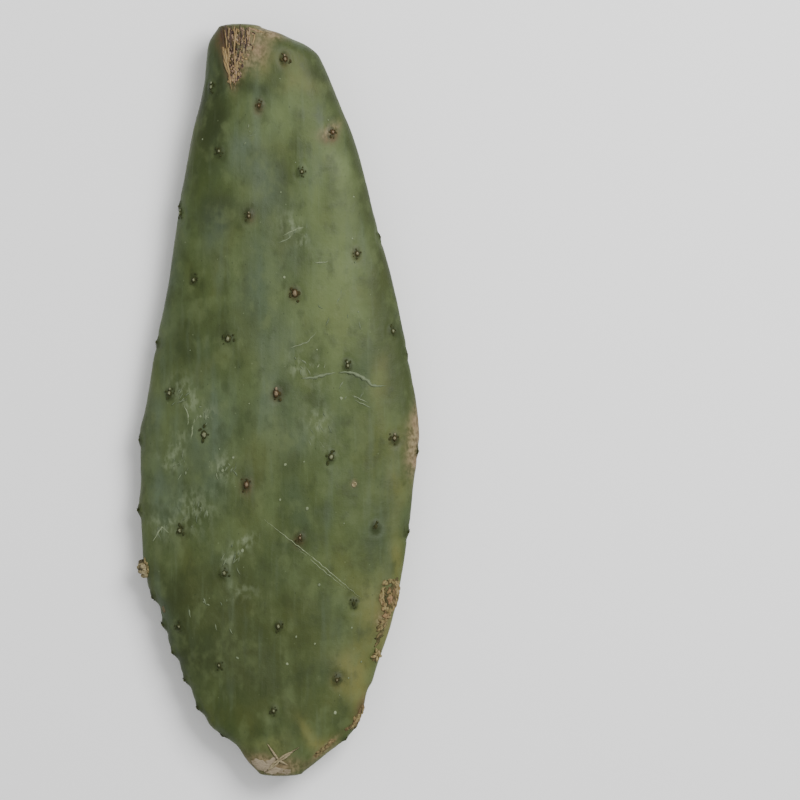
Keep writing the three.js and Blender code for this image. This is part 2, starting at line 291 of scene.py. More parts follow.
@dataclass
class PadForm:
    """The flesh's form, and every place on its skin.

    Attributes:
        half_length: Half the length from the rim of the base scar to the tip.
        scar_bulge: How far the base scar bulges out past its rim.
        flat_spot_depth: How deep the flat spot that it rests on cuts into the belly.
        bend_rise: How far the bow lifts the base end.
        bend_centre_y: Where the bow is lowest.
        section_power: How blunt the cross-sections are; 2 would be ellipses.
        swelling_height: The height of the swelling under a face's areole.
        swelling_radius: That swelling's reach.
        knob_towards_base: A margin knob's reach towards the base.
        knob_towards_tip: Its reach towards the tip.
        knob_least_share: Its height near the base, as a share of its height near the tip.
        knobs_grow_from: Where the knobs begin to grow higher.
        knobs_grow_to: Where they have their full height.
        margin_areole_angle: How far above the margin its areoles stand, in degrees.
        left_margin: The left margin's x along the pad.
        right_margin: The right margin's x along the pad.
        half_thickness: Half the thickness along the pad.
        margin_rows: The rows of areoles on the margins.
        face_rows: The rows of areoles on the lower face.
        shift: Moves the formula's own frame into the frame that the pad is packed in.
    """

    half_length: float = 160
    scar_bulge: float = 0.8
    flat_spot_depth: float = 0.8
    bend_rise: float = 5
    bend_centre_y: float = -5
    section_power: float = 2.5
    swelling_height: float = 0.5
    swelling_radius: float = 7
    knob_towards_base: float = 6.5
    knob_towards_tip: float = 3
    knob_least_share: float = 0.2
    knobs_grow_from: float = 10
    knobs_grow_to: float = -70
    margin_areole_angle: float = 6
    left_margin: Curve = Curve((
        (160, -24.6), (152, -29.4), (135, -31.4), (111, -36.9), (80, -42.4), (50, -46.7),
        (20, -52.6), (0, -55.9), (-15, -58.6), (-45, -58.4), (-68, -57.4), (-77, -54.9),
        (-91, -48.6), (-101, -46), (-110, -42), (-126, -34.8), (-137, -28.8), (-146, -17.8),
        (-153, -13.2), (-160, -6.4),
    ))
    right_margin: Curve = Curve((
        (160, -9.8), (159.1, -6.4), (157.9, -3), (157, 0.5), (155.4, 4), (153.8, 7.4),
        (152.4, 10.8), (150.3, 14.2), (147.2, 17.5), (144, 19.2), (141, 20.6), (137, 22.3),
        (128, 26), (111, 32.9), (80, 41), (50, 49.3), (20, 55.4), (-15, 60.4),
        (-35, 58.2), (-55, 55.8), (-80, 52), (-96, 48.2), (-115, 41.8), (-119.5, 40.4),
        (-123.8, 38.2), (-131, 36.6), (-141, 31.6), (-151, 20.2), (-160, 8.8),
    ))
    half_thickness: Curve = Curve((
        (160, 7), (148, 10.4), (125, 12), (85, 12.8), (30, 12.6), (-40, 11.4), (-100, 9.6),
        (-135, 7.6), (-152, 5.2), (-160, 3),
    ))
    margin_rows: tuple[MarginRow, ...] = (
        MarginRow(-1, 83, 57.9, 0.72, 11.8, 2),
        MarginRow(1, 70, 50, 0.83, 12.5, 0.6),
    )
    face_rows: FaceRows = FaceRows()
    shift: np.ndarray = field(default_factory=lambda: np.zeros(3))

    def __post_init__(self) -> None:
        """Finds the areoles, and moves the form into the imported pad's box."""
        self.face_areoles = self.face_rows.places(self.half_length)
        self.margin_areoles = [
            Place(y, self.margin_areole_angle if row.side > 0 else 180 - self.margin_areole_angle)
            for row in self.margin_rows
            for y in row.places()
        ]
        self.swellings = [self._swelling(areole) for areole in self.face_areoles]
        self._settle(*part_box(NODE))
        for bud in UPPER_BUDS:
            self.face_areoles.append(self.place_at(bud.x, bud.y))
            self.swellings.append(self._swelling(self.face_areoles[-1]))

    def _swelling(self, areole: Place) -> tuple[float, float, int]:
        """Gives the x, y and face of the low swelling that an areole stands on."""
        middle_x, half_width, _, _ = self.section(areole.y)
        x = middle_x + half_width * math.cos(math.radians(areole.angle))
        return float(x), areole.y, UPPER if areole.angle < 180 else LOWER

    def _settle(self, low: Vector, high: Vector) -> None:
        """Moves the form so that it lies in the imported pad's box, on its flat spot.

        Args:
            low: The box's lowest corner, in metres.
            high: The box's highest corner, in metres.
        """
        y = np.linspace(-self.half_length, self.half_length, 641)[:, None]
        across = np.linspace(-1, 1, 81)[None, :]
        flesh = self.skin(y, across, LOWER)
        middle = (np.array(low) + np.array(high)) / 2 / MM
        own_middle_x = (flesh[..., 0].min() + flesh[..., 0].max()) / 2
        lowest = flesh[..., 2].min() + self.flat_spot_depth
        self.shift = np.array([middle[0] - own_middle_x, middle[1] - self.scar_bulge / 2, -lowest])

    def knobs(self, side: int, y: np.ndarray) -> np.ndarray:
        """Tells how far the knobs of one margin push it out.

        Args:
            side: -1 for the left margin, 1 for the right.
            y: Places along the pad.

        Returns:
            The push at each place, never below 0.
        """
        row = next(row for row in self.margin_rows if row.side == side)
        growing = self.knobs_grow_from - self.knobs_grow_to
        grown = np.clip((self.knobs_grow_from - y) / growing, 0, 1)
        grown = grown * grown * (3 - 2 * grown)
        height = row.knob * (self.knob_least_share + (1 - self.knob_least_share) * grown)
        most = np.zeros_like(y)
        for place in row.places():
            reach = np.where(y > place, self.knob_towards_base, self.knob_towards_tip)
            most = np.maximum(most, height * np.exp(-(((y - place) / reach) ** 2)))
        return most

    def section(self, y: np.ndarray) -> tuple[np.ndarray, np.ndarray, np.ndarray, np.ndarray]:
        """Gives the cross-section's middle X, half width, half thickness and middle Z at each y."""
        y = np.asarray(y, float)
        left = self.left_margin.at(y) - self.knobs(-1, y)
        right = self.right_margin.at(y) + self.knobs(1, y)
        rise = self.bend_rise * ((y - self.bend_centre_y) / self.half_length) ** 2
        return (left + right) / 2, (right - left) / 2, self.half_thickness.at(y), rise

    def _unevenness(self, x: np.ndarray, y: np.ndarray, face: np.ndarray | int) -> np.ndarray:
        """Gives the soft waves that grew into the skin, as heights."""
        drift = face * 1.7
        return (
            0.32 * np.sin(x / 13 + y / 31 + drift)
            + 0.26 * np.sin(x / 22 - y / 17 + 2.1 * drift)
            + 0.16 * np.sin(x / 7.5 + y / 11 + 0.6 + drift)
        )

    def skin(
        self,
        y: np.ndarray | float,
        across: np.ndarray | float,
        face: np.ndarray | int,
        out: np.ndarray | float = 1,
        y_shown: np.ndarray | float | None = None,
    ) -> np.ndarray:
        """Gives points on the skin.

        Args:
            y: The section that each point is on.
            across: Where it is in its section, from -1 at the left margin to 1 at the right.
            face: UPPER or LOWER.
            out: The share of the way from the section's middle to the skin, for the closed ends.
            y_shown: Where the point is along the pad, where that isn't its section's y.

        Returns:
            The points, one row of x, y and z each.
        """
        y, across, face = np.broadcast_arrays(np.asarray(y, float), across, face)
        middle_x, half_width, half_thickness, middle_z = self.section(y)
        x = middle_x + half_width * across * out
        rise = np.sqrt(np.maximum(0, 1 - np.abs(across) ** self.section_power))
        height = rise * (half_thickness + self._unevenness(x, y, face))
        for areole_x, areole_y, areole_face in self.swellings:
            away = ((x - areole_x) ** 2 + (y - areole_y) ** 2) / self.swelling_radius**2
            swelling = rise * self.swelling_height * np.exp(-2.5 * away)
            height = height + (face == areole_face) * swelling
        along = y if y_shown is None else y_shown
        z = middle_z + face * height * out
        return np.stack(np.broadcast_arrays(x, along, z), axis=-1) + self.shift

    def around(self, y: np.ndarray, angle: np.ndarray) -> np.ndarray:
        """Gives the skin's points at places along the pad and degrees round it."""
        turn = np.radians(angle)
        return self.skin(y, np.cos(turn), np.where(np.sin(turn) < 0, LOWER, UPPER))

    def outwards(self, y: np.ndarray, angle: np.ndarray, step: float = 2) -> np.ndarray:
        """Gives the direction out of the skin at places along the pad and degrees round it."""
        along = self.around(y + step, angle) - self.around(y - step, angle)
        out = np.cross(along, self.around(y, angle + step) - self.around(y, angle - step))
        return out / np.linalg.norm(out, axis=-1, keepdims=True)

    def at_angle(self, y: float, angle: float) -> Vector:
        """Gives the skin's point at one place, in millimetres."""
        return Vector(self.around(np.array([y]), np.array([angle]))[0])

    def spot(self, place: Place) -> Spot:
        """Gives one place on the skin as vectors."""
        step = 2
        ahead = self.at_angle(place.y + step, place.angle)
        behind = self.at_angle(place.y - step, place.angle)
        out = Vector(self.outwards(np.array([place.y]), np.array([place.angle]))[0])
        return Spot(self.at_angle(place.y, place.angle), out, (ahead - behind).normalized())

    def angles_at(
        self, x: np.ndarray, y: np.ndarray, face: int = UPPER
    ) -> tuple[np.ndarray, np.ndarray]:
        """Turns places seen from above into places along the pad and degrees round it.

        Args:
            x: Places across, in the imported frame.
            y: Places along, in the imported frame.
            face: UPPER or LOWER.

        Returns:
            The places along the pad's own frame, and the degrees.
        """
        own_y = np.asarray(y, float) - self.shift[1]
        middle_x, half_width, _, _ = self.section(own_y)
        across = np.clip((np.asarray(x, float) - self.shift[0] - middle_x) / half_width, -1, 1)
        return own_y, face * np.degrees(np.arccos(across))

    def place_at(self, x: float, y: float, face: int = UPPER) -> Place:
        """Gives the place on the skin over or under one place seen from above."""
        own_y, angle = self.angles_at(np.array([x]), np.array([y]), face)
        return Place(float(own_y[0]), float(angle[0]))

    def on_face(
        self, x: np.ndarray, y: np.ndarray, face: int = UPPER
    ) -> tuple[np.ndarray, np.ndarray]:
        """Gives the skin's points over or under places seen from above, and the way out of it."""
        own_y, angle = self.angles_at(x, y, face)
        return self.around(own_y, angle), self.outwards(own_y, angle)

    def all_areoles(self) -> list[Place]:
        """Gives every areole of the faces and margins."""
        return [*self.face_areoles, *self.margin_areoles]


# ---- Making meshes ----------------------------------------------------------------------------


def finish_mesh(name: str, bm: bmesh.types.BMesh, material: bpy.types.Material) -> bpy.types.Object:
    """Turns a bmesh in millimetres into a smooth object in metres.

    Args:
        name: The new object's name.
        bm: The mesh, which is freed.
        material: The object's material.

    Returns:
        The object, linked to the scene, at the origin.
    """
    bmesh.ops.recalc_face_normals(bm, faces=bm.faces)
    bmesh.ops.scale(bm, vec=(MM, MM, MM), verts=bm.verts)
    mesh = bpy.data.meshes.new(name)
    bm.to_mesh(mesh)
    bm.free()
    mesh.shade_smooth()
    mesh.materials.append(material)
    piece = bpy.data.objects.new(name, mesh)
    bpy.context.scene.collection.objects.link(piece)
    return piece


def store(piece: bpy.types.Object, name: str, values: np.ndarray) -> None:
    """Keeps one number for each vertex of a piece, under a name that its material reads."""
    attribute = piece.data.attributes.new(name, "FLOAT", "POINT")
    attribute.data.foreach_set("value", np.asarray(values, np.float32))


class Cluster:
    """Many small shapes that become one piece, with numbers for each vertex."""

    def __init__(self) -> None:
        """Starts with nothing in it."""
        self.bm = bmesh.new()
        self.values: dict[str, list[np.ndarray]] = defaultdict(list)

    def add(self, shape: bmesh.types.BMesh, **values: np.ndarray | float) -> None:
        """Adds a shape, and frees it.

        Args:
            shape: The shape, in millimetres.
            values: By name, one number for the shape or one for each of its vertices.
        """
        for name, value in values.items():
            self.values[name].append(np.broadcast_to(value, len(shape.verts)))
        scratch = bpy.data.meshes.new("scratch")
        shape.to_mesh(scratch)
        shape.free()
        self.bm.from_mesh(scratch)
        bpy.data.meshes.remove(scratch)

    def finish(self, name: str, material: bpy.types.Material) -> bpy.types.Object:
        """Makes the piece, with nothing below the surface that the pad rests on."""
        for vertex in self.bm.verts:
            vertex.co.z = max(vertex.co.z, 0)
        piece = finish_mesh(name, self.bm, material)
        for key, parts in self.values.items():
            store(piece, key, np.concatenate(parts))
        return piece


@dataclass
class Strand:
    """A thin strand, flat or round, whose middle follows a path.

    Attributes:
        path: The path's points.
        outs: The way that its thickness points, at each of them.
        half_widths: Half its width at each point.
        half_heights: Half its thickness at each point.
        sides: Corners of its cross-section.
    """

    path: np.ndarray
    outs: np.ndarray
    half_widths: np.ndarray
    half_heights: np.ndarray
    sides: int = 6

    def shape(self) -> bmesh.types.BMesh:
        """Makes the strand from a cylinder with a ring at each point of the path."""
        steps = len(self.path) - 1
        bm = bmesh.new()
        bmesh.ops.create_cone(
            bm, cap_ends=True, segments=self.sides, radius1=1, radius2=1, depth=steps
        )
        upright = [e for e in bm.edges if abs(e.verts[0].co.z - e.verts[1].co.z) > steps / 2]
        if steps > 1:
            bmesh.ops.subdivide_edges(bm, edges=upright, cuts=steps - 1)
        local = np.array([v.co for v in bm.verts])
        ring = np.clip(np.rint(local[:, 2] + steps / 2).astype(int), 0, steps)
        ahead = unit(np.gradient(self.path, axis=0))
        side = unit(np.cross(self.outs, ahead))
        lift = np.cross(ahead, side)
        across = (local[:, 0] * self.half_widths[ring])[:, None] * side[ring]
        upwards = (local[:, 1] * self.half_heights[ring])[:, None] * lift[ring]
        for vertex, place in zip(bm.verts, self.path[ring] + across + upwards):
            vertex.co = place
        return bm


def unit(vectors: np.ndarray) -> np.ndarray:
    """Makes each row one long."""
    return vectors / np.maximum(np.linalg.norm(vectors, axis=-1, keepdims=True), 1e-9)


def spindle(steps: int, root: float = 0.08, tip: float = 0.04, fullest: float = 0.4) -> np.ndarray:
    """Gives a strand's widths from its root to its tip, as shares of its fullest width."""
    t = np.linspace(0, 1, steps + 1)
    rising = root + (1 - root) * np.sin(np.clip(t / fullest, 0, 1) * math.pi / 2)
    falling = tip + (1 - tip) * np.cos(np.clip((t - fullest) / (1 - fullest), 0, 1) * math.pi / 2)
    return np.minimum(rising, falling)


def rough(points: np.ndarray, size: float, seed: int) -> np.ndarray:
    """Gives smooth noise from -1 to 1 over points.

    Args:
        points: The points, in millimetres.
        size: How wide its bumps are, in millimetres.
        seed: Picks another noise.

    Returns:
        One value a point.
    """
    offset = Vector((17.3 * seed, 5.1 * seed, 9.7 * seed))
    return np.array([noise.noise(Vector(p) / size + offset) for p in points])


# ---- Materials --------------------------------------------------------------------------------


def linear(colour: str) -> tuple[float, float, float, float]:
    """Turns an sRGB hex colour, such as 5f6b47, into the linear colour that shaders take."""
    channels = [int(colour[i : i + 2], 16) / 255 for i in (0, 2, 4)]
    made = [c / 12.92 if c <= 0.04045 else ((c + 0.055) / 1.055) ** 2.4 for c in channels]
    return (*made, 1.0)


def add_node(
    tree: bpy.types.NodeTree,
    kind: str,
    settings: dict[str, Any] | None = None,
    inputs: dict[str | int, Any] | None = None,
) -> bpy.types.Node:
    """Adds a node with its settings and links.

    Args:
        tree: The material's node tree.
        kind: The node's type, without "ShaderNode".
        settings: Values of the node itself, such as its operation.
        inputs: By input name or number, a socket to link or a value to set.

    Returns:
        The new node.
    """
    node = tree.nodes.new("ShaderNode" + kind)
    for name, value in (settings or {}).items():
        setattr(node, name, value)
    for key, value in (inputs or {}).items():
        if isinstance(value, bpy.types.NodeSocket):
            tree.links.new(value, node.inputs[key])
        else:
            node.inputs[key].default_value = value
    return node


class Painter:
    """Builds up one material's nodes from the few steps that its finishes share."""

    def __init__(self, name: str) -> None:
        """Starts a material whose patterns follow the piece's own coordinates, in millimetres."""
        self.material = bpy.data.materials.new(name)
        self.material.use_nodes = True
        self.tree = self.material.node_tree
        self.tree.nodes.clear()
        self.shader = add_node(self.tree, "BsdfPrincipled")
        add_node(self.tree, "OutputMaterial", {}, {"Surface": self.shader.outputs[0]})
        where = add_node(self.tree, "TexCoord").outputs["Object"]
        inputs = {0: where, "Scale": 1 / MM}
        self.place = add_node(self.tree, "VectorMath", {"operation": "SCALE"}, inputs).outputs[0]

    def scaled_place(self, size: float, stretch: Triple, seed: float) -> bpy.types.NodeSocket:
        """Gives the place counted in a pattern's own size, longer where stretch is more."""
        scale = tuple(1 / (size * s) for s in stretch)
        inputs = {"Vector": self.place, "Location": (seed, 2.3 * seed, 4.1 * seed), "Scale": scale}
        return add_node(self.tree, "Mapping", {"vector_type": "POINT"}, inputs).outputs[0]

    def mm_noise(
        self, size: float, detail: float = 2, stretch: Triple = EVEN, seed: float = 0
    ) -> bpy.types.NodeSocket:
        """Adds noise whose bumps are a size in millimetres."""
        inputs = {"Vector": self.scaled_place(size, stretch, seed), "Scale": 1.0, "Detail": detail}
        return add_node(self.tree, "TexNoise", {}, inputs).outputs["Fac"]

    def mm_dots(
        self, gap: float, radius: float, stretch: Triple = EVEN, seed: float = 0
    ) -> tuple[bpy.types.NodeSocket, bpy.types.NodeSocket]:
        """Adds scattered round dots.

        Args:
            gap: The millimetres from one dot to the next, about.
            radius: A dot's radius in millimetres.
            stretch: How much longer the dots are along X, Y and Z.
            seed: Picks another scatter.

        Returns:
            The dots' mask, and a number from 0 to 1 for each dot.
        """
        inputs = {"Vector": self.scaled_place(gap, stretch, seed), "Scale": 1.0}
        cells = add_node(self.tree, "TexVoronoi", {"feature": "F1"}, inputs)
        mask = self.band(cells.outputs["Distance"], radius / gap, 0.35 * radius / gap)
        each = add_node(self.tree, "SeparateColor", {}, {0: cells.outputs["Color"]}).outputs[0]
        return mask, each

    def attribute(self, name: str) -> bpy.types.NodeSocket:
        """Reads a number kept on the piece's vertices."""
        return add_node(self.tree, "Attribute", {"attribute_name": name}).outputs["Fac"]

    def math(self, operation: str, a: Any, b: Any = 0.0) -> bpy.types.NodeSocket:
        """Adds one sum of two numbers or sockets."""
        return add_node(self.tree, "Math", {"operation": operation}, {0: a, 1: b}).outputs[0]

    def band(self, value: Any, low: float, high: float, top: float = 1.0) -> bpy.types.NodeSocket:
        """Turns a value into a mask: 0 at low and beyond it, top at high, smooth between."""
        inputs = {"Value": value, "From Min": low, "From Max": high, "To Min": 0.0, "To Max": top}
        node = add_node(self.tree, "MapRange", {"interpolation_type": "SMOOTHSTEP"}, inputs)
        return node.outputs[0]

    def faded(self, name: str, pattern: Any, most: float) -> bpy.types.NodeSocket:
        """Reads a soft mask and lets a pattern thin it out in places."""
        thinned = self.math("ADD", self.math("MULTIPLY", pattern, 1.5), 0.25)
        return self.math("MULTIPLY", self.math("MULTIPLY", self.attribute(name), thinned), most)

    def mix(self, share: Any, under: Any, over: Any) -> bpy.types.NodeSocket:
        """Lays one colour over another; colours are hex strings or sockets."""
        a, b = (linear(c) if isinstance(c, str) else c for c in (under, over))
        # The node's inputs 6 and 7 are its two colours, and its output 2 is the mixed one.
        inputs = {0: share, 6: a, 7: b}
        return add_node(self.tree, "Mix", {"data_type": "RGBA"}, inputs).outputs[2]

    def bump(self, height: Any, depth: float, under: Any = None) -> bpy.types.NodeSocket:
        """Raises the surface by a height from 0 to 1, where 1 stands depth millimetres proud."""
        inputs = {"Height": height, "Distance": depth * MM, "Strength": 1.0}
        if under is not None:
            inputs["Normal"] = under
        return add_node(self.tree, "Bump", {}, inputs).outputs[0]

    def wear(self, colour: Any, roughness: Any, normal: Any, specular: float = 0.5) -> None:
        """Joins the finished colour, roughness and normal to the shader; a number is set on it."""
        finish = {"Base Color": colour, "Roughness": roughness, "Normal": normal}
        for name, value in {**finish, "Specular IOR Level": specular}.items():
            if isinstance(value, bpy.types.NodeSocket):
                self.tree.links.new(value, self.shader.inputs[name])
            else:
                self.shader.inputs[name].default_value = value


def waxy_cactus_skin() -> bpy.types.Material:
    """Cuticle: a tough green skin under dull natural wax, which blurs its highlights.

    Under the wax the green drifts from olive to blue-grey, with faint worn streaks along the pad.
    """
    on = Painter("waxy_cactus_skin")
    broad = on.mm_noise(34, 3, (1, 1.7, 1), 3)
    hue = on.mm_noise(17, 3, (1, 1.8, 1), 47)
    cloud = on.mm_noise(13, 5, (1, 1.3, 1), 91)
    mottle = on.mm_noise(6.5, 4, (1, 1.5, 1), 11)
    fine = on.mm_noise(1.5, 3, (1, 1.3, 1), 23)
    streak = on.mm_noise(2.2, 3, (1, 11, 1), 31)
    wide_streak = on.mm_noise(6, 3, (1, 8, 1), 71)
    colour = on.mix(on.band(broad, 0.32, 0.68), "37431d", "444f27")
    colour = on.mix(on.band(hue, 0.5, 0.72, 0.55), colour, "4a4f1f")
    colour = on.mix(on.band(hue, 0.5, 0.3, 0.55), colour, "38462e")
    # Deep mask: partly the pad's own darker green, partly painted shade on the left side and along
    # the right margin.
    colour = on.mix(on.faded("deep", cloud, 0.85), colour, "232b0f")
    colour = on.mix(on.faded("fresh", cloud, 0.85), colour, "313815")
    colour = on.mix(on.faded("bloom", wide_streak, 0.8), colour, "495544")
    # Pale mask: partly paler skin, partly a painted pool of light between the middle and the right
    # margin of the upper face.
    colour = on.mix(on.faded("pale", cloud, 0.85), colour, "5b673e")
    colour = on.mix(on.faded("yellow", cloud, 0.9), colour, "636233")
    colour = on.mix(on.band(cloud, 0.5, 0.7, 0.36), colour, "54613c")
    colour = on.mix(on.band(cloud, 0.48, 0.28, 0.4), colour, "293214")
    colour = on.mix(on.band(mottle, 0.5, 0.7, 0.34), colour, "58633e")
    colour = on.mix(on.band(mottle, 0.48, 0.3, 0.42), colour, "283113")
    colour = on.mix(on.band(wide_streak, 0.52, 0.75, 0.28), colour, "4d5a48")
    colour = on.mix(on.band(streak, 0.58, 0.8, 0.18), colour, "5c684d")
    colour = on.mix(on.band(fine, 0.56, 0.8, 0.26), colour, "243013")
    smear = on.mm_noise(2.4, 4, (1, 1.8, 1), 61)
    scuff = on.math("MULTIPLY", on.faded("scuff", fine, 0.85), on.band(smear, 0.42, 0.66))
    colour = on.mix(scuff, colour, "6d775c")
    dots, each = on.mm_dots(3.6, 0.34, seed=9)
    colour = on.mix(on.math("MULTIPLY", dots, on.band(each, 0.66, 0.95, 0.45)), colour, "707b5b")
    pits, each = on.mm_dots(2.7, 0.34, (1, 1.4, 1), 27)
    colour = on.mix(on.math("MULTIPLY", pits, on.band(each, 0.5, 0.9, 0.5)), colour, "1c250c")
    ragged = on.math("ADD", on.math("MULTIPLY", mottle, 0.45), on.math("MULTIPLY", fine, 0.55))
    colour = on.mix(on.faded("stain", ragged, 0.9), colour, on.mix(fine, "35281a", "5c442b"))
    crumbs = on.mix(on.band(fine, 0.32, 0.66), "50472d", "7c7052")
    crumbs = on.mix(on.band(mottle, 0.45, 0.7, 0.5), crumbs, "79634c")
    colour = on.mix(on.math("MULTIPLY", on.faded("cork", ragged, 1.1), 1.1), colour, crumbs)
    # Painted shade: a ragged dark green ring round each areole, over the furrow that it sits in.
    pit_shade = on.math("ADD", on.attribute("areole_reach"), on.math("MULTIPLY", ragged, 6.0))
    colour = on.mix(on.band(pit_shade, 6.0, 3.8, 0.7), colour, "232b0c")
    roughness = on.math("ADD", on.band(mottle, 0.3, 0.8, 0.16), 0.48)
    grain = on.bump(fine, 0.1)
    lines = on.bump(streak, 0.08, grain)
    pores = on.bump(on.mm_noise(0.6, 2, EVEN, 5), 0.05, lines)
    on.wear(colour, roughness, pores, 0.22)
    return on.material


def areole_felt() -> bpy.types.Material:
    """Felt of short plant hairs, packed so close that it has no shine: green-brown, or rusty."""
    on = Painter("brown_areole_felt")
    hairs = on.mm_noise(0.3, 3, (1, 1, 2.5), 3)
    green = on.mix(on.band(hairs, 0.35, 0.7), "22280f", "3b4122")
    rusty = on.mix(on.band(hairs, 0.35, 0.7), "2c2110", "4e3e22")
    on.wear(on.mix(on.attribute("rust"), green, rusty), 0.92, on.bump(hairs, 0.12), 0.2)
    return on.material


def bone_spine_stub() -> bpy.types.Material:
    """Spine wood: horn with a low shine, worn to blunt stubs; grey-green, or pink where rusty."""
    on = Painter("bone_spine_stub")
    grain = on.mm_noise(0.45, 3, (1, 1, 1), 8)
    colour = on.mix(on.attribute("rust"), "686e52", "715e49")
    colour = on.mix(on.band(grain, 0.45, 0.75, 0.6), colour, "474a2e")
    on.wear(colour, 0.6, on.bump(grain, 0.06), 0.35)
    return on.material


def amber_bristle() -> bpy.types.Material:
    """Glochids: barbed hair-thin bristles of clear brown horn, darker towards the felt."""
    on = Painter("amber_bristle")
    grain = on.mm_noise(0.5, 2, (1, 1, 1), 12)
    on.wear(on.mix(grain, "2c2712", "5a4d28"), 0.45, on.bump(grain, 0.03))
    return on.material


def dry_cork() -> bpy.types.Material:
    """Scar cork: dead bark-like tissue, cracked and dusty, from yellow-tan to pink-brown."""
    on = Painter("dry_cork")
    crumbs = on.mm_noise(0.9, 4, (1, 1.6, 1), 14)
    broad = on.mm_noise(2.6, 3, (1, 1, 1), 41)
    colour = on.mix(on.band(crumbs, 0.32, 0.68), "5c5030", "8e8259")
    colour = on.mix(on.attribute("blush"), colour, on.mix(crumbs, "66482f", "947a5a"))
    colour = on.mix(on.band(broad, 0.5, 0.68, 0.6), colour, "6c6239")
    colour = on.mix(on.band(crumbs, 0.42, 0.3, 0.8), colour, "2a2413")
    colour = on.mix(on.attribute("shade"), colour, on.mix(crumbs, "1f2410", "474325"))
    on.wear(colour, 0.85, on.bump(crumbs, 0.25), 0.25)
    return on.material


def bleached_cork() -> bpy.types.Material:
    """Weathered cork: bleached grey-tan to grey-pink, with fine lines where it split."""
    on = Painter("bleached_cork")
    lines = on.mm_noise(0.6, 3, (3, 0.9, 1), 17)
    broad = on.mm_noise(2.2, 4, (1, 1, 1), 37)
    colour = on.mix(on.band(lines, 0.3, 0.7), "6f6548", "958b6b")
    colour = on.mix(on.attribute("blush"), colour, on.mix(lines, "776a59", "9c907d"))
    colour = on.mix(on.band(broad, 0.42, 0.28, 0.7), colour, "504a2e")
    colour = on.mix(on.attribute("shade"), colour, "2f2a18")
    on.wear(colour, 0.85, on.bump(lines, 0.15), 0.25)
    return on.material


def torn_fibre() -> bpy.types.Material:
    """Dried vascular fibre: woody strands, purple-brown where sap dried, golden where clean."""
    on = Painter("torn_fibre")
    along = on.mm_noise(0.9, 3, (0.6, 4, 0.6), 19)
    tone = on.attribute("shade")
    colour = on.mix(on.band(tone, 0.1, 0.5), "3a2b26", "86714a")
    colour = on.mix(on.band(tone, 0.55, 1.0), colour, "806a56")
    colour = on.mix(on.band(along, 0.5, 0.75, 0.5), colour, "968a6c")
    colour = on.mix(on.band(along, 0.48, 0.32, 0.9), colour, "2a1e18")
    on.wear(colour, 0.75, on.bump(along, 0.2), 0.3)
    return on.material


def healed_scratch() -> bpy.types.Material:
    """Scar tissue in a scratch: thin, dry and grey-green, paler than the skin and without wax."""
    on = Painter("healed_scratch")
    grain = on.mm_noise(1.2, 3, (1, 1, 1), 33)
    colour = on.mix(on.band(grain, 0.3, 0.7), "707b58", "8a9472")
    on.wear(on.mix(on.attribute("shade"), colour, "49553a"), 0.7, on.bump(grain, 0.05))
    return on.material


def matt_white_paper() -> bpy.types.Material:
    """Uncoated paper: plain, white and without shine."""
    on = Painter("matt_white_paper")
    grain = on.mm_noise(0.6, 2)
    on.wear(on.mix(grain, "f8f8f8", "fdfdfd"), 0.9, on.bump(grain, 0.01))
    return on.material


# ---- The skin ---------------------------------------------------------------------------------


class Tone(Enum):
    """The colours that lie over the skin's own green. Each value names its mask on the skin."""

    # Deep tone: partly the pad's own darker green, partly painted shade on the left side and along
    # the right margin.
    DEEP_AND_SHADE = "deep"
    FRESH = "fresh"
    BLOOM = "bloom"
    # Pale tone: partly paler skin, partly a painted pool of light between the middle and the right
    # margin of the upper face.
    PALE_AND_LIGHT = "pale"
    YELLOW = "yellow"
    SCUFF = "scuff"
    STAIN = "stain"
    CORK = "cork"


@dataclass(frozen=True)
class Patch:
    """A soft oval patch of a tone on one face.

    Attributes:
        tone: What colours it.
        x: Its middle across the pad.
        y: Its middle along the pad.
        half_width: Its reach across its own long axis.
        half_length: Its reach along its own long axis.
        lean: Degrees that its long axis is turned anticlockwise from the pad's length.
        strength: 0 is nothing and 1 is full.
        face: UPPER or LOWER.
    """

    tone: Tone
    x: float
    y: float
    half_width: float
    half_length: float
    lean: float = 0
    strength: float = 1
    face: int = UPPER


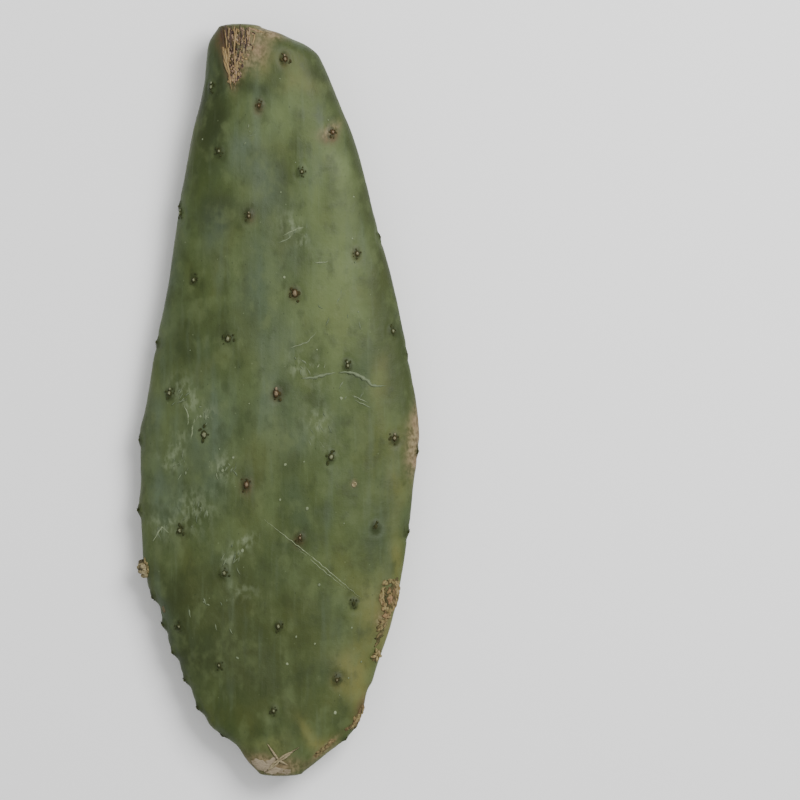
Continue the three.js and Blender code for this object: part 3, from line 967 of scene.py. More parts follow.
PATCHES = (
    # Deep patches: partly the pad's own darker green, partly painted shade where they darken the
    # left side and the band along the right margin.
    Patch(Tone.DEEP_AND_SHADE, -29, 122, 6, 24, -7, 1.0),
    Patch(Tone.DEEP_AND_SHADE, -24, 138, 2.6, 9, 5, 0.9),
    Patch(Tone.DEEP_AND_SHADE, -11, 132, 9, 4.5, 0, 0.9),
    # Painted shade: the deep patches from here down to the one at x 49, y 12 darken the band along
    # the right margin, where it turns down.
    Patch(Tone.DEEP_AND_SHADE, 4, 152, 6, 5, 20, 0.7),
    Patch(Tone.DEEP_AND_SHADE, 14, 149, 9, 3.5, 20, 0.7),
    Patch(Tone.DEEP_AND_SHADE, 19, 140, 6, 9, 25, 1.0),
    Patch(Tone.DEEP_AND_SHADE, 24, 127, 5.5, 10, 20, 1.0),
    Patch(Tone.DEEP_AND_SHADE, 31.5, 107, 5.5, 14, 20, 1.0),
    Patch(Tone.DEEP_AND_SHADE, 38.5, 83, 5, 16, 14, 1.0),
    Patch(Tone.DEEP_AND_SHADE, 46.5, 57, 4.6, 16, 14, 1.0),
    Patch(Tone.DEEP_AND_SHADE, 53.5, 30, 4.6, 16, 12, 1.0),
    Patch(Tone.DEEP_AND_SHADE, 58.5, 6, 4.6, 14, 9, 1.0),
    Patch(Tone.DEEP_AND_SHADE, 33, 88, 5.5, 20, 14, 0.8),
    Patch(Tone.DEEP_AND_SHADE, 42, 47, 5, 20, 12, 0.7),
    Patch(Tone.DEEP_AND_SHADE, 49, 12, 5, 16, 9, 0.6),
    Patch(Tone.DEEP_AND_SHADE, 1, 95, 7, 14, 0, 0.8),
    Patch(Tone.DEEP_AND_SHADE, -7, 90, 8, 10, 0, 0.5),
    Patch(Tone.DEEP_AND_SHADE, -26, 74, 5, 9, 0, 0.8),
    Patch(Tone.DEEP_AND_SHADE, -12.6, 51, 5, 9, 0, 0.5),
    Patch(Tone.DEEP_AND_SHADE, -20, -92, 10, 24, 0, 0.5),
    # Painted shade along the right margin.
    Patch(Tone.DEEP_AND_SHADE, 59, -42, 2.6, 10, -6, 0.9),
    Patch(Tone.DEEP_AND_SHADE, -25, 76, 5, 10, 0, 1.0),
    Patch(Tone.DEEP_AND_SHADE, -12, 79, 7, 5, 0, 0.7),
    Patch(Tone.DEEP_AND_SHADE, -39, 32, 8, 20, -10, 0.6),
    Patch(Tone.DEEP_AND_SHADE, -22, 29, 5, 8, 0, 0.6),
    Patch(Tone.DEEP_AND_SHADE, -43, -84, 13, 16, 15, 0.8),
    Patch(Tone.DEEP_AND_SHADE, -36, -108, 12, 18, 30, 0.9),
    Patch(Tone.DEEP_AND_SHADE, 6, -58, 10, 10, 0, 0.3),
    Patch(Tone.DEEP_AND_SHADE, -10, -38, 7, 9, 0, 0.4),
    Patch(Tone.DEEP_AND_SHADE, 20, 112, 3, 12, 20, 0.4),
    Patch(Tone.DEEP_AND_SHADE, 45.5, -93, 1.5, 3, 0, 0.9),
    Patch(Tone.DEEP_AND_SHADE, 12, -155, 3, 2, 0, 0.9),
    Patch(Tone.FRESH, -20, -82, 20, 18, 0, 0.8),
    Patch(Tone.FRESH, -14, -112, 24, 20, 10, 0.9),
    Patch(Tone.FRESH, 10, -100, 16, 24, 0, 0.6),
    Patch(Tone.FRESH, -46, 8, 5, 16, -5, 0.3),
    Patch(Tone.FRESH, -14, 30, 5, 12, 0, 0.4),
    Patch(Tone.FRESH, 4, -132, 18, 12, 0, 0.5),
    Patch(Tone.FRESH, 36, 84, 5, 24, 12, 0.4),
    Patch(Tone.FRESH, -3, 93, 6, 7, 0, 0.5),
    Patch(Tone.BLOOM, -15, 108, 8, 9, 0, 0.9),
    Patch(Tone.BLOOM, -4, 55, 12, 26, 0, 0.5),
    Patch(Tone.BLOOM, -7, 92, 9, 14, 0, 0.75),
    Patch(Tone.BLOOM, -5, 0, 7, 24, 0, 0.7),
    Patch(Tone.BLOOM, -50, -42, 7, 20, 0, 0.7),
    Patch(Tone.BLOOM, -40, 74, 4, 16, -12, 0.4),
    Patch(Tone.BLOOM, -6, 120, 9, 10, 0, 0.6),
    Patch(Tone.BLOOM, -26, 66, 6, 12, 0, 0.6),
    Patch(Tone.BLOOM, -48, 36, 5, 22, -10, 0.6),
    Patch(Tone.BLOOM, -56, -12, 4, 30, 0, 0.7),
    Patch(Tone.BLOOM, 0, 24, 9, 12, 0, 0.5),
    Patch(Tone.BLOOM, 6, -14, 9, 16, 0, 0.5),
    Patch(Tone.BLOOM, -30, -15, 13, 30, 0, 0.6),
    Patch(Tone.BLOOM, -47, -45, 7, 14, 0, 0.5),
    Patch(Tone.BLOOM, -48, -92, 4, 14, 20, 0.6),
    # Painted light: the pale patches from here down to the one at x 2, y 42 brighten the upper face
    # between its middle and right margin.
    Patch(Tone.PALE_AND_LIGHT, 25, 96, 7, 26, 14, 0.9),
    Patch(Tone.PALE_AND_LIGHT, 28, 56, 9, 20, 5, 1.0),
    Patch(Tone.PALE_AND_LIGHT, 22, 30, 15, 12, 0, 0.7),
    Patch(Tone.PALE_AND_LIGHT, 5, 118, 8, 12, 0, 0.8),
    Patch(Tone.PALE_AND_LIGHT, -8, 119, 6, 7, 0, 0.7),
    Patch(Tone.PALE_AND_LIGHT, 16, 86, 5, 16, 0, 0.6),
    Patch(Tone.PALE_AND_LIGHT, 22, 52, 7, 18, 0, 0.6),
    Patch(Tone.PALE_AND_LIGHT, 24, 16, 7, 16, 0, 0.5),
    Patch(Tone.PALE_AND_LIGHT, 2, 42, 6, 10, 0, 0.5),
    Patch(Tone.PALE_AND_LIGHT, -5, -146, 10, 5, 0, 0.9),
    Patch(Tone.PALE_AND_LIGHT, -30, -128, 4, 9, 25, 0.4),
    Patch(Tone.PALE_AND_LIGHT, 42.5, -82, 2.4, 10, 0, 0.7),
    Patch(Tone.PALE_AND_LIGHT, -9, 140, 5, 4, 0, 0.9),
    Patch(Tone.PALE_AND_LIGHT, 24, -12, 14, 9, 0, 0.5),
    Patch(Tone.PALE_AND_LIGHT, -6, -8, 5, 12, 0, 0.4),
    Patch(Tone.YELLOW, 11, 134, 9, 5, 0, 0.5),
    Patch(Tone.YELLOW, -5, 143, 5, 5, 0, 0.6),
    Patch(Tone.YELLOW, 35, -112, 5, 14, -20, 0.6),
    Patch(Tone.YELLOW, -3, -147, 8, 4, 0, 0.5),
    Patch(Tone.YELLOW, 50, -66, 5, 12, 5, 0.7),
    Patch(Tone.YELLOW, 43, -95, 7, 18, 12, 0.9),
    Patch(Tone.YELLOW, 35, -125, 6, 16, 22, 1.0),
    Patch(Tone.YELLOW, 20, -147, 4, 13, 45, 1.0),
    Patch(Tone.YELLOW, 50, -35, 4, 14, 0, 0.5),
    Patch(Tone.YELLOW, 46, 8, 3, 12, 0, 0.4),
    Patch(Tone.YELLOW, -20, -154, 10, 3, 50, 0.4),
    Patch(Tone.SCUFF, 6, 70, 9, 5, -60, 0.8),
    Patch(Tone.SCUFF, 11.3, 14.7, 9, 4, -60, 0.8),
    Patch(Tone.SCUFF, -50, -56, 5, 5, 0, 0.9),
    Patch(Tone.SCUFF, -18, -66, 3.5, 8, -40, 1.0),
    Patch(Tone.SCUFF, -21.5, -29, 4.5, 6, 0, 1.0),
    Patch(Tone.SCUFF, -31, -6.6, 5, 7, 0, 0.9),
    Patch(Tone.SCUFF, -41, 2, 4, 6, 0, 0.8),
    Patch(Tone.SCUFF, -44, -22, 5, 7, -40, 0.7),
    Patch(Tone.SCUFF, -36, -49, 8, 9, 0, 0.7),
    Patch(Tone.SCUFF, 18, -11, 7, 9, 0, 0.7),
    Patch(Tone.SCUFF, -14, -82, 6, 5, 0, 0.5),
    Patch(Tone.STAIN, 20.6, 112, 2.4, 2.4, 60, 0.7),
    # The stain under the torn fibres is partly dried sap and partly painted shade in the gaps
    # between the fibres.
    Patch(Tone.STAIN, -22.6, 154, 3, 6, -8, 1.0),
    Patch(Tone.STAIN, -21.6, 145, 2, 9, 10, 1.0),
    Patch(Tone.STAIN, -19, 144, 1.6, 8, 0, 1.0),
    Patch(Tone.STAIN, -17, 155, 6, 4, 0, 1.0),
    Patch(Tone.STAIN, 35.5, -131, 2.2, 5, -25, 0.8),
    Patch(Tone.STAIN, 45, -86, 3, 8, 0, 0.4),
    Patch(Tone.CORK, 60, -13, 3, 13, -2, 1.0),
    Patch(Tone.CORK, 21.5, 115, 4, 2.2, 25, 0.7),
    Patch(Tone.CORK, -13.5, 149, 3.4, 7, 5, 0.9),
    Patch(Tone.CORK, -7.5, 149, 4.5, 7, -5, 0.7),
    Patch(Tone.CORK, -16.5, 139, 1.8, 6, -12, 0.7),
    Patch(Tone.CORK, -4, 156.5, 6, 2.4, -14, 1.0),
    Patch(Tone.CORK, 58.5, -21, 3.4, 11, -3, 1.0),
    Patch(Tone.CORK, 20, -148.5, 1.4, 8, -48, 0.6),
    Patch(Tone.CORK, 4, -156, 6, 3.4, 0, 0.7),
    Patch(Tone.CORK, -5, -155.5, 3.6, 9, 82, 1.0),
    Patch(Tone.CORK, 44, -94.5, 2.6, 3.5, 0, 0.7),
    Patch(Tone.CORK, 32.5, -36, 1.3, 1.4, 0, 0.8),
    *(Patch(Tone.STAIN, b.x, b.y - 0.8, 2.1, 2.8, 0, b.rust) for b in UPPER_BUDS if b.rust > 0.3),
)


@dataclass
class PadSkin:
    """The flesh's closed skin, with the swellings, pits and wrinkles that grew in it.

    Attributes:
        form: The pad's form.
        around: Points round each ring.
        rings: Rings from the base scar to the tip.
        base_rings: How many of them close the base scar.
        tip_rings: How many of them close the tip.
        tip_rounding: How far along the pad the tip's end is rounded.
        areole_pit: How deep the furrow round an areole is.
        areole_pit_reach: How far that furrow is from the areole's middle.
        areole_pit_width: The furrow's width.
        areole_lengthening: How much longer it is along the pad.
        wrinkle: The height of the wrinkles, and wrinkle_size their width.
        pebble: The height of the fine pebbling, and pebble_size its width.
        swirl: How far the tones' edges wander, and swirl_size how wide their bends are.
        sharp_swirl: The share of that for stains and cork, which keep closer to their places.
        wound_tip: The x and y of the torn strip's pointed end.
        wound_tip_width: Half the strip's width there.
        wound_spread: How fast it widens towards the base scar.
        wound_length: How far it widens.
        tear: How deep it is torn.
    """

    form: PadForm
    around: int = 288
    rings: int = 340
    base_rings: int = 14
    tip_rings: int = 8
    tip_rounding: float = 1.5
    areole_pit: float = 0.35
    areole_pit_reach: float = 2.7
    areole_pit_width: float = 1.1
    areole_lengthening: float = 1.3
    wrinkle: float = 0.2
    wrinkle_size: float = 6
    pebble: float = 0.07
    pebble_size: float = 2.4
    swirl: float = 6
    swirl_size: float = 14
    sharp_swirl: float = 0.25
    wound_tip: Pair = (-18.5, 130)
    wound_tip_width: float = 1.5
    wound_spread: float = 0.22
    wound_length: float = 30
    tear: float = 0.7

    def build(self) -> bpy.types.Object:
        """Makes the skin as one closed piece, with its masks and material."""
        bm = bmesh.new()
        bmesh.ops.create_uvsphere(bm, u_segments=self.around, v_segments=self.rings, radius=1)
        sphere = np.array([v.co for v in bm.verts])
        smooth, face = self._placed(sphere)
        reach = self._areole_reach(smooth)
        raised = smooth + self._outwards(smooth) * self._relief(smooth, face, reach)[:, None]
        raised[:, 2] = np.maximum(raised[:, 2], 0)
        for vertex, place in zip(bm.verts, raised):
            vertex.co = place
        piece = finish_mesh("pad_skin", bm, waxy_cactus_skin())
        store(piece, "areole_reach", reach)
        swirls = [rough(smooth, self.swirl_size, seed) for seed in (4, 5, 6)]
        swirled = smooth + self.swirl * np.stack(swirls, 1)
        for tone in Tone:
            is_sharp = tone in (Tone.STAIN, Tone.CORK)
            places = smooth + self.sharp_swirl * (swirled - smooth) if is_sharp else swirled
            store(piece, tone.value, self._mask(tone, places, face))
        return piece

    def _placed(self, sphere: np.ndarray) -> tuple[np.ndarray, np.ndarray]:
        """Moves a unit sphere's points on to the pad.

        Args:
            sphere: The sphere's points, with its poles on Z.

        Returns:
            The points on the skin, and the face that each is on.
        """
        ring = np.arccos(np.clip(sphere[:, 2], -1, 1)) / math.pi * self.rings
        flat = np.hypot(sphere[:, 0], sphere[:, 1])
        across = np.where(flat > 1e-9, sphere[:, 0] / np.maximum(flat, 1e-9), 0)
        face = np.where(sphere[:, 1] < 0, LOWER, UPPER)
        base_y, tip_y = self.form.half_length, -self.form.half_length
        bulge = self.form.scar_bulge
        base_rim, tip_rim = base_y - bulge, tip_y + self.tip_rounding
        body = (ring - self.base_rings) / (self.rings - self.base_rings - self.tip_rings)
        section = np.clip(base_rim + (tip_rim - base_rim) * body, tip_rim, base_rim)
        base_cap = np.clip(ring / self.base_rings, 0, 1)
        tip_cap = np.clip((self.rings - ring) / self.tip_rings, 0, 1)
        out = np.where(body < 0, np.sin(base_cap * math.pi / 2), np.sin(tip_cap * math.pi / 2))
        out = np.where((body >= 0) & (body <= 1), 1, out)
        along = np.where(body < 0, base_rim + 2 * bulge * np.cos(base_cap * math.pi / 2), section)
        tip_y = tip_rim - self.tip_rounding * np.cos(tip_cap * math.pi / 2)
        along = np.where(body > 1, tip_y, along)
        return self.form.skin(section, across, face, out, along), face

    def _outwards(self, points: np.ndarray) -> np.ndarray:
        """Gives the skin's outward direction at each point, near enough to raise small relief."""
        y = points[:, 1] - self.form.shift[1]
        middle_x, half_width, half_thickness, middle_z = self.form.section(y)
        across = (points[:, 0] - self.form.shift[0] - middle_x) / half_width
        power = self.form.section_power
        steep_x = np.sign(across) * np.abs(across) ** (power - 1) * power / (2 * half_width)
        steep_z = (points[:, 2] - self.form.shift[2] - middle_z) / half_thickness**2
        return unit(np.stack([steep_x, np.zeros_like(y), steep_z], axis=1))

    def _areole_reach(self, points: np.ndarray) -> np.ndarray:
        """Gives each point's distance to the nearest areole, shorter along the pad."""
        nearest = np.full(len(points), 1e3)
        for place in self.form.all_areoles():
            away = points - np.array(self.form.at_angle(place.y, place.angle))
            away[:, 1] /= self.areole_lengthening
            nearest = np.minimum(nearest, np.linalg.norm(away, axis=1))
        return nearest

    def _relief(self, points: np.ndarray, face: np.ndarray, reach: np.ndarray) -> np.ndarray:
        """Gives the height of the skin's fine relief at each point."""
        pit = np.exp(-(((reach - self.areole_pit_reach) / self.areole_pit_width) ** 2))
        wrinkles = rough(points * (1, 0.45, 1), self.wrinkle_size, 1)
        pebbles = rough(points, self.pebble_size, 2)
        soft = self.wrinkle * wrinkles + self.pebble * pebbles - self.areole_pit * pit
        return soft + self._tear(points) * (face == UPPER)

    def _tear(self, points: np.ndarray) -> np.ndarray:
        """Gives the depth of the torn strip that runs from the base scar to a point."""
        tip_x, tip_y = self.wound_tip
        up = np.clip((points[:, 1] - tip_y) / self.wound_length, 0, 1)
        half_width = self.wound_tip_width + self.wound_spread * self.wound_length * up
        lean = (points[:, 0] - tip_x) / half_width
        inside = np.clip(1.25 - np.abs(lean), 0, 1) * np.clip(8 * up, 0, 1)
        ridges = np.sin(lean * 17 + 3 * np.sin(points[:, 1] / 9))
        return self.tear * inside * (0.45 * ridges - 0.4)

    def _mask(self, tone: Tone, points: np.ndarray, face: np.ndarray) -> np.ndarray:
        """Gives how strongly a tone covers each point, from 0 to 1."""
        bare = np.ones(len(points))
        for patch in (p for p in PATCHES if p.tone is tone):
            lean = math.radians(patch.lean)
            x, y = points[:, 0] - patch.x, points[:, 1] - patch.y
            across = (x * math.cos(lean) + y * math.sin(lean)) / patch.half_width
            along = (y * math.cos(lean) - x * math.sin(lean)) / patch.half_length
            cover = patch.strength * np.exp(-(across**2 + along**2))
            bare *= 1 - cover * (face == patch.face)
        return 1 - bare


# ---- What grows on the skin -------------------------------------------------------------------


@dataclass(frozen=True)
class Growth:
    """What grows at one areole.

    Attributes:
        matrix: Stands a shape there, its Z outwards and its Y along the pad.
        stub: The radius of its spine stub, or 0 where it has none.
        rust: 0 is green-brown felt and 1 is rust-brown.
        stubs: How many stubs it has, one above the other.
        felt: The radius of its felt cushion.
    """

    matrix: Matrix
    stub: float
    rust: float
    stubs: int
    felt: float


@dataclass
class Areoles:
    """The felt cushions, each with blunt spine stubs and a tuft of bristles.

    Attributes:
        form: The pad's form.
        seed: Picks the chance values.
        felt: The least radius of a face's felt cushion.
        felt_border: How far a cushion reaches past its stub.
        margin_felt: The radius of a margin's cushion.
        felt_height: How far a cushion stands up.
        longer: How much longer it is along the pad.
        uneven: How lumpy it is, as a share of its size.
        clumps: How many clumps of felt stand off round it.
        lower_stubs: The stub sizes that the lower face's areoles draw from.
        margin_stubs: The least and most radius of a margin's stub.
        margin_rust: How rusty the margins' areoles are.
        stub_height: How high a stub's middle is.
        bristles: How many bristles a tuft has.
        bristle_radius: A bristle's radius at its root.
        bristle_length: Its length, as a share of the cushion's radius.
    """

    form: PadForm
    seed: int = 7
    felt: float = 0.8
    felt_border: float = 0.42
    margin_felt: float = 0.5
    felt_height: float = 0.4
    longer: float = 1.3
    uneven: float = 0.5
    clumps: int = 5
    lower_stubs: tuple[float, ...] = (0, 0.4, 0.5, 0.6, 0.8)
    margin_stubs: Pair = (0.2, 0.35)
    margin_rust: float = 0.1
    stub_height: float = 0.34
    bristles: int = 7
    bristle_radius: float = 0.06
    bristle_length: float = 1.1

    def __post_init__(self) -> None:
        """Gives each areole its place and what grows there."""
        draw = random.Random(self.seed)
        spot = self.form.spot
        self.growths: list[Growth] = []
        for bud in UPPER_BUDS:
            felt = max(self.felt, bud.stub + self.felt_border)
            matrix = spot(self.form.place_at(bud.x, bud.y)).matrix()
            self.growths.append(Growth(matrix, bud.stub, bud.rust, bud.stubs, felt))
        for place in self.form.face_areoles:
            if place.angle > 180:
                stub, stubs = draw.choice(self.lower_stubs), draw.choice((1, 1, 2))
                rust = draw.random() ** 2
                felt = max(self.felt, stub + self.felt_border)
                self.growths.append(Growth(spot(place).matrix(), stub, rust, stubs, felt))
        for place in self.form.margin_areoles:
            stub, matrix = draw.uniform(*self.margin_stubs), spot(place).matrix()
            self.growths.append(Growth(matrix, stub, self.margin_rust, 1, self.margin_felt))

    def cushions(self) -> bpy.types.Object:
        """Makes the felt cushions, and the small clumps that stand off round them."""
        cluster = Cluster()
        for number, growth in enumerate(self.growths):
            shape = bmesh.new()
            bmesh.ops.create_icosphere(shape, subdivisions=3, radius=1)
            for vertex in shape.verts:
                lump = 1 + self.uneven * noise.noise(vertex.co * 2.3 + Vector((number * 3.7, 0, 0)))
                wide = growth.felt * lump
                x, y, z = vertex.co
                vertex.co = Vector((x * wide, y * wide * self.longer, z * self.felt_height * lump))
            shape.transform(growth.matrix)
            cluster.add(shape, rust=growth.rust)
            self._add_clumps(cluster, number, growth)
        return cluster.finish("areole_cushions", areole_felt())

    def _add_clumps(self, cluster: Cluster, number: int, growth: Growth) -> None:
        """Adds the small clumps of felt that stand off round one cushion."""
        draw = random.Random(number)
        for _ in range(self.clumps):
            turn, away = draw.uniform(0, 2 * math.pi), growth.felt * draw.uniform(1.2, 2.3)
            x, y = away * math.cos(turn), self.longer * away * math.sin(turn)
            wide = growth.felt * draw.uniform(0.2, 0.55)
            clump = bmesh.new()
            bmesh.ops.create_icosphere(clump, subdivisions=2, radius=1)
            full = Matrix.Diagonal((wide, wide * draw.uniform(0.8, 1.8), 0.22, 1))
            clump.transform(growth.matrix @ Matrix.Translation((x, y, -0.08)) @ full)
            cluster.add(clump, rust=0.5 * growth.rust)

    def stubs(self) -> bpy.types.Object:
        """Makes the blunt stubs in each areole, one above the other."""
        draw = random.Random(self.seed + 1)
        cluster = Cluster()
        for number, growth in enumerate(g for g in self.growths if g.stub):
            for step in range(growth.stubs):
                shape = bmesh.new()
                bmesh.ops.create_icosphere(shape, subdivisions=3, radius=1)
                grown = growth.stub * (1 if step == 0 else 0.75)
                for vertex in shape.verts:
                    lump = noise.noise(vertex.co * 1.6 + Vector((number * 2.9, step, 0)))
                    vertex.co *= grown * (1 + 0.4 * lump)
                x, y = draw.uniform(-0.15, 0.15), step * (1.3 * growth.stub + 0.9)
                flat = Matrix.Diagonal((0.9, 1.15, 0.6, 1))
                shape.transform(growth.matrix @ Matrix.Translation((x, y, self.stub_height)) @ flat)
                cluster.add(shape, rust=growth.rust)
        return cluster.finish("spine_stubs", bone_spine_stub())

    def tufts(self) -> bpy.types.Object:
        """Makes the short bristles that stand out round each areole's stubs."""
        draw = random.Random(self.seed + 2)
        cluster = Cluster()
        for growth in (g for g in self.growths if g.felt > self.margin_felt):
            tuft = bmesh.new()
            for number in range(self.bristles):
                heading = 2 * math.pi * (number + draw.random()) / self.bristles
                turn = Matrix.Rotation(heading, 4, "Z")
                tilt = Matrix.Rotation(math.radians(draw.uniform(35, 75)), 4, "Y")
                length = self.bristle_length * growth.felt * draw.uniform(0.6, 1.15)
                root = Matrix.Translation((0.5 * growth.felt, 0, 0.2 + length / 2))
                bmesh.ops.create_cone(
                    tuft,
                    cap_ends=True,
                    segments=4,
                    radius1=self.bristle_radius,
                    radius2=self.bristle_radius / 5,
                    depth=length,
                    matrix=growth.matrix @ turn @ tilt @ root,
                )
            cluster.add(tuft)
        return cluster.finish("areole_bristles", amber_bristle())


@dataclass(frozen=True)
class Crust:
    """A dry growth of cork that lies on the skin and thins out towards its edge.

    Attributes:
        place: Its middle.
        half_width: Its reach round the pad.
        half_length: Its reach along the pad.
        height: How far its body stands up.
        rim: How far a ring near its edge stands above that.
        hollow: How deep its middle is sunk.
        ragged: How uneven its outline is, as a share of its reach.
        grain: How high its crumbs are.
        lean: Degrees that its length is turned anticlockwise from the pad's.
        shade: 0 is pale cork and 1 is dark.
        around: Points round it; small ones need few.
    """

    place: Place
    half_width: float
    half_length: float
    height: float = 0.4
    rim: float = 0
    hollow: float = 0
    ragged: float = 0.2
    grain: float = 0.25
    lean: float = 0
    shade: float = 0
    around: int = 48

    def shape(self, form: PadForm, seed: int) -> tuple[bmesh.types.BMesh, np.ndarray]:
        """Makes the growth from a sphere whose equator is its edge.

        Args:
            form: The pad's form.
            seed: Picks its crumbs.

        Returns:
            The shape, and how far each vertex is from the middle, as a share of the reach.
        """
        bm = bmesh.new()
        bmesh.ops.create_uvsphere(bm, u_segments=self.around, v_segments=self.around // 2, radius=1)
        sphere = np.array([v.co for v in bm.verts])
        colatitude = np.arccos(np.clip(np.abs(sphere[:, 2]), 0, 1))
        reach = colatitude / (math.pi / 2)
        round_it = unit(sphere * (1, 1, 0))
        outline = 1 + self.ragged * rough(round_it, 0.45, seed)
        across = self.half_width * reach * outline * round_it[:, 0]
        along = self.half_length * reach * outline * round_it[:, 1]
        lean = math.radians(self.lean)
        x = across * math.cos(lean) - along * math.sin(lean)
        y = across * math.sin(lean) + along * math.cos(lean)
        angle = self.place.angle - x / self._mm_per_degree(form)
        on_skin = form.around(self.place.y + y, angle)
        out = form.outwards(self.place.y + y, angle)
        placed = on_skin + out * self._heights(sphere, on_skin, reach, seed)[:, None]
        for vertex, place in zip(bm.verts, placed):
            vertex.co = place
        return bm, reach

    def _mm_per_degree(self, form: PadForm) -> float:
        """Gives how far one degree goes round the pad at this place."""
        ahead = form.at_angle(self.place.y, self.place.angle + 4)
        return (ahead - form.at_angle(self.place.y, self.place.angle - 4)).length / 8

    def _heights(
        self, sphere: np.ndarray, points: np.ndarray, reach: np.ndarray, seed: int
    ) -> np.ndarray:
        """Gives each point's height over the skin; the underside is sunk in it."""
        body = self.height * np.sqrt(np.maximum(1 - reach**4, 0))
        ring = self.rim * np.exp(-(((reach - 0.72) / 0.16) ** 2))
        bowl = self.hollow * np.exp(-((reach / 0.42) ** 2))
        crumbs = self.grain * rough(points, 1.3, seed + 3) * (1 - reach**3)
        return np.where(sphere[:, 2] > 0, body + ring - bowl + crumbs, -0.5 * (1 - reach**2))


@dataclass(frozen=True)
class Ridge:
    """Crumbs of cork heaped along a line, seen from above.

    Attributes:
        corners: The line's corners, across and along the pad.
        half_width: Half the heap's width.
        blush: 0 is yellow-tan and 1 is pink-brown.
        shade: 0 is pale and 1 is dark.
        height: How far its crumbs stand up.
    """

    corners: Points
    half_width: float
    blush: float = 0.1
    shade: float = 0.05
    height: float = 0.5


RIDGES = (
    Ridge(((45.6, -77.8), (44.7, -80.5), (44.2, -84.5), (45.2, -88), (47.2, -90)), 0.7, 0, 0),
    Ridge(((46.4, -78), (48.2, -77), (50, -77.4)), 0.8, 0.1, 0.2),
    Ridge(((50.8, -78), (51, -82), (50.4, -86), (48.6, -89.6)), 0.9, 0.2, 0),
    Ridge(((47.4, -80.4), (47.6, -84), (48, -87)), 0.8, 0.9, 0, 0.8),
    Ridge(((49.2, -80), (49.4, -84), (49, -87.4)), 0.7, 0.9, 0.5, 0.5),
    Ridge(((46.2, -80.5), (46, -84.5), (46.6, -88)), 0.6, 0.3, 0.95, 0.3),
    Ridge(((46, -90.6), (48.6, -89.6)), 0.6, 0.9, 0.8, 0.3),
    Ridge(((45.4, -92.4), (48, -91.4)), 0.8, 0.4),
    Ridge(((43.8, -94.8), (46.4, -93.6)), 0.9, 0.2, 0.2, 0.3),
    Ridge(((42.8, -97.6), (45, -96)), 0.8, 0, 0.35, 0.3),
    Ridge(((43, -101.5), (44.2, -98.6)), 0.7, 0.1, 0.75, 0.3),
    Ridge(((41.8, -104.6), (43, -102)), 0.6, 0.1, 0.8, 0.3),
    Ridge(((36, -130.6), (34.8, -133.4), (33, -136.6)), 0.6, 1, 0.5),
    Ridge(((35.4, -133), (33.8, -136.2), (31.6, -139.4)), 0.4, 0, 0),
    Ridge(((34.2, -136.8), (32.6, -139.4)), 0.3, 0.5, 1),
    Ridge(((36.8, -131.6), (35.8, -134.6), (34, -138)), 0.6, 0.5, 0.2),
    Ridge(((31.4, -138.6), (29.6, -140.2)), 0.5, 1, 0.6, 0.3),
    Ridge(((-56.8, -68.8), (-56, -72), (-55.8, -74.6)), 0.5, 0.1, 0.1, 0.3),
    Ridge(((15.5, -152.5), (20, -148.4), (24.5, -144.4)), 0.5, 0.3, 0.3, 0.15),
)


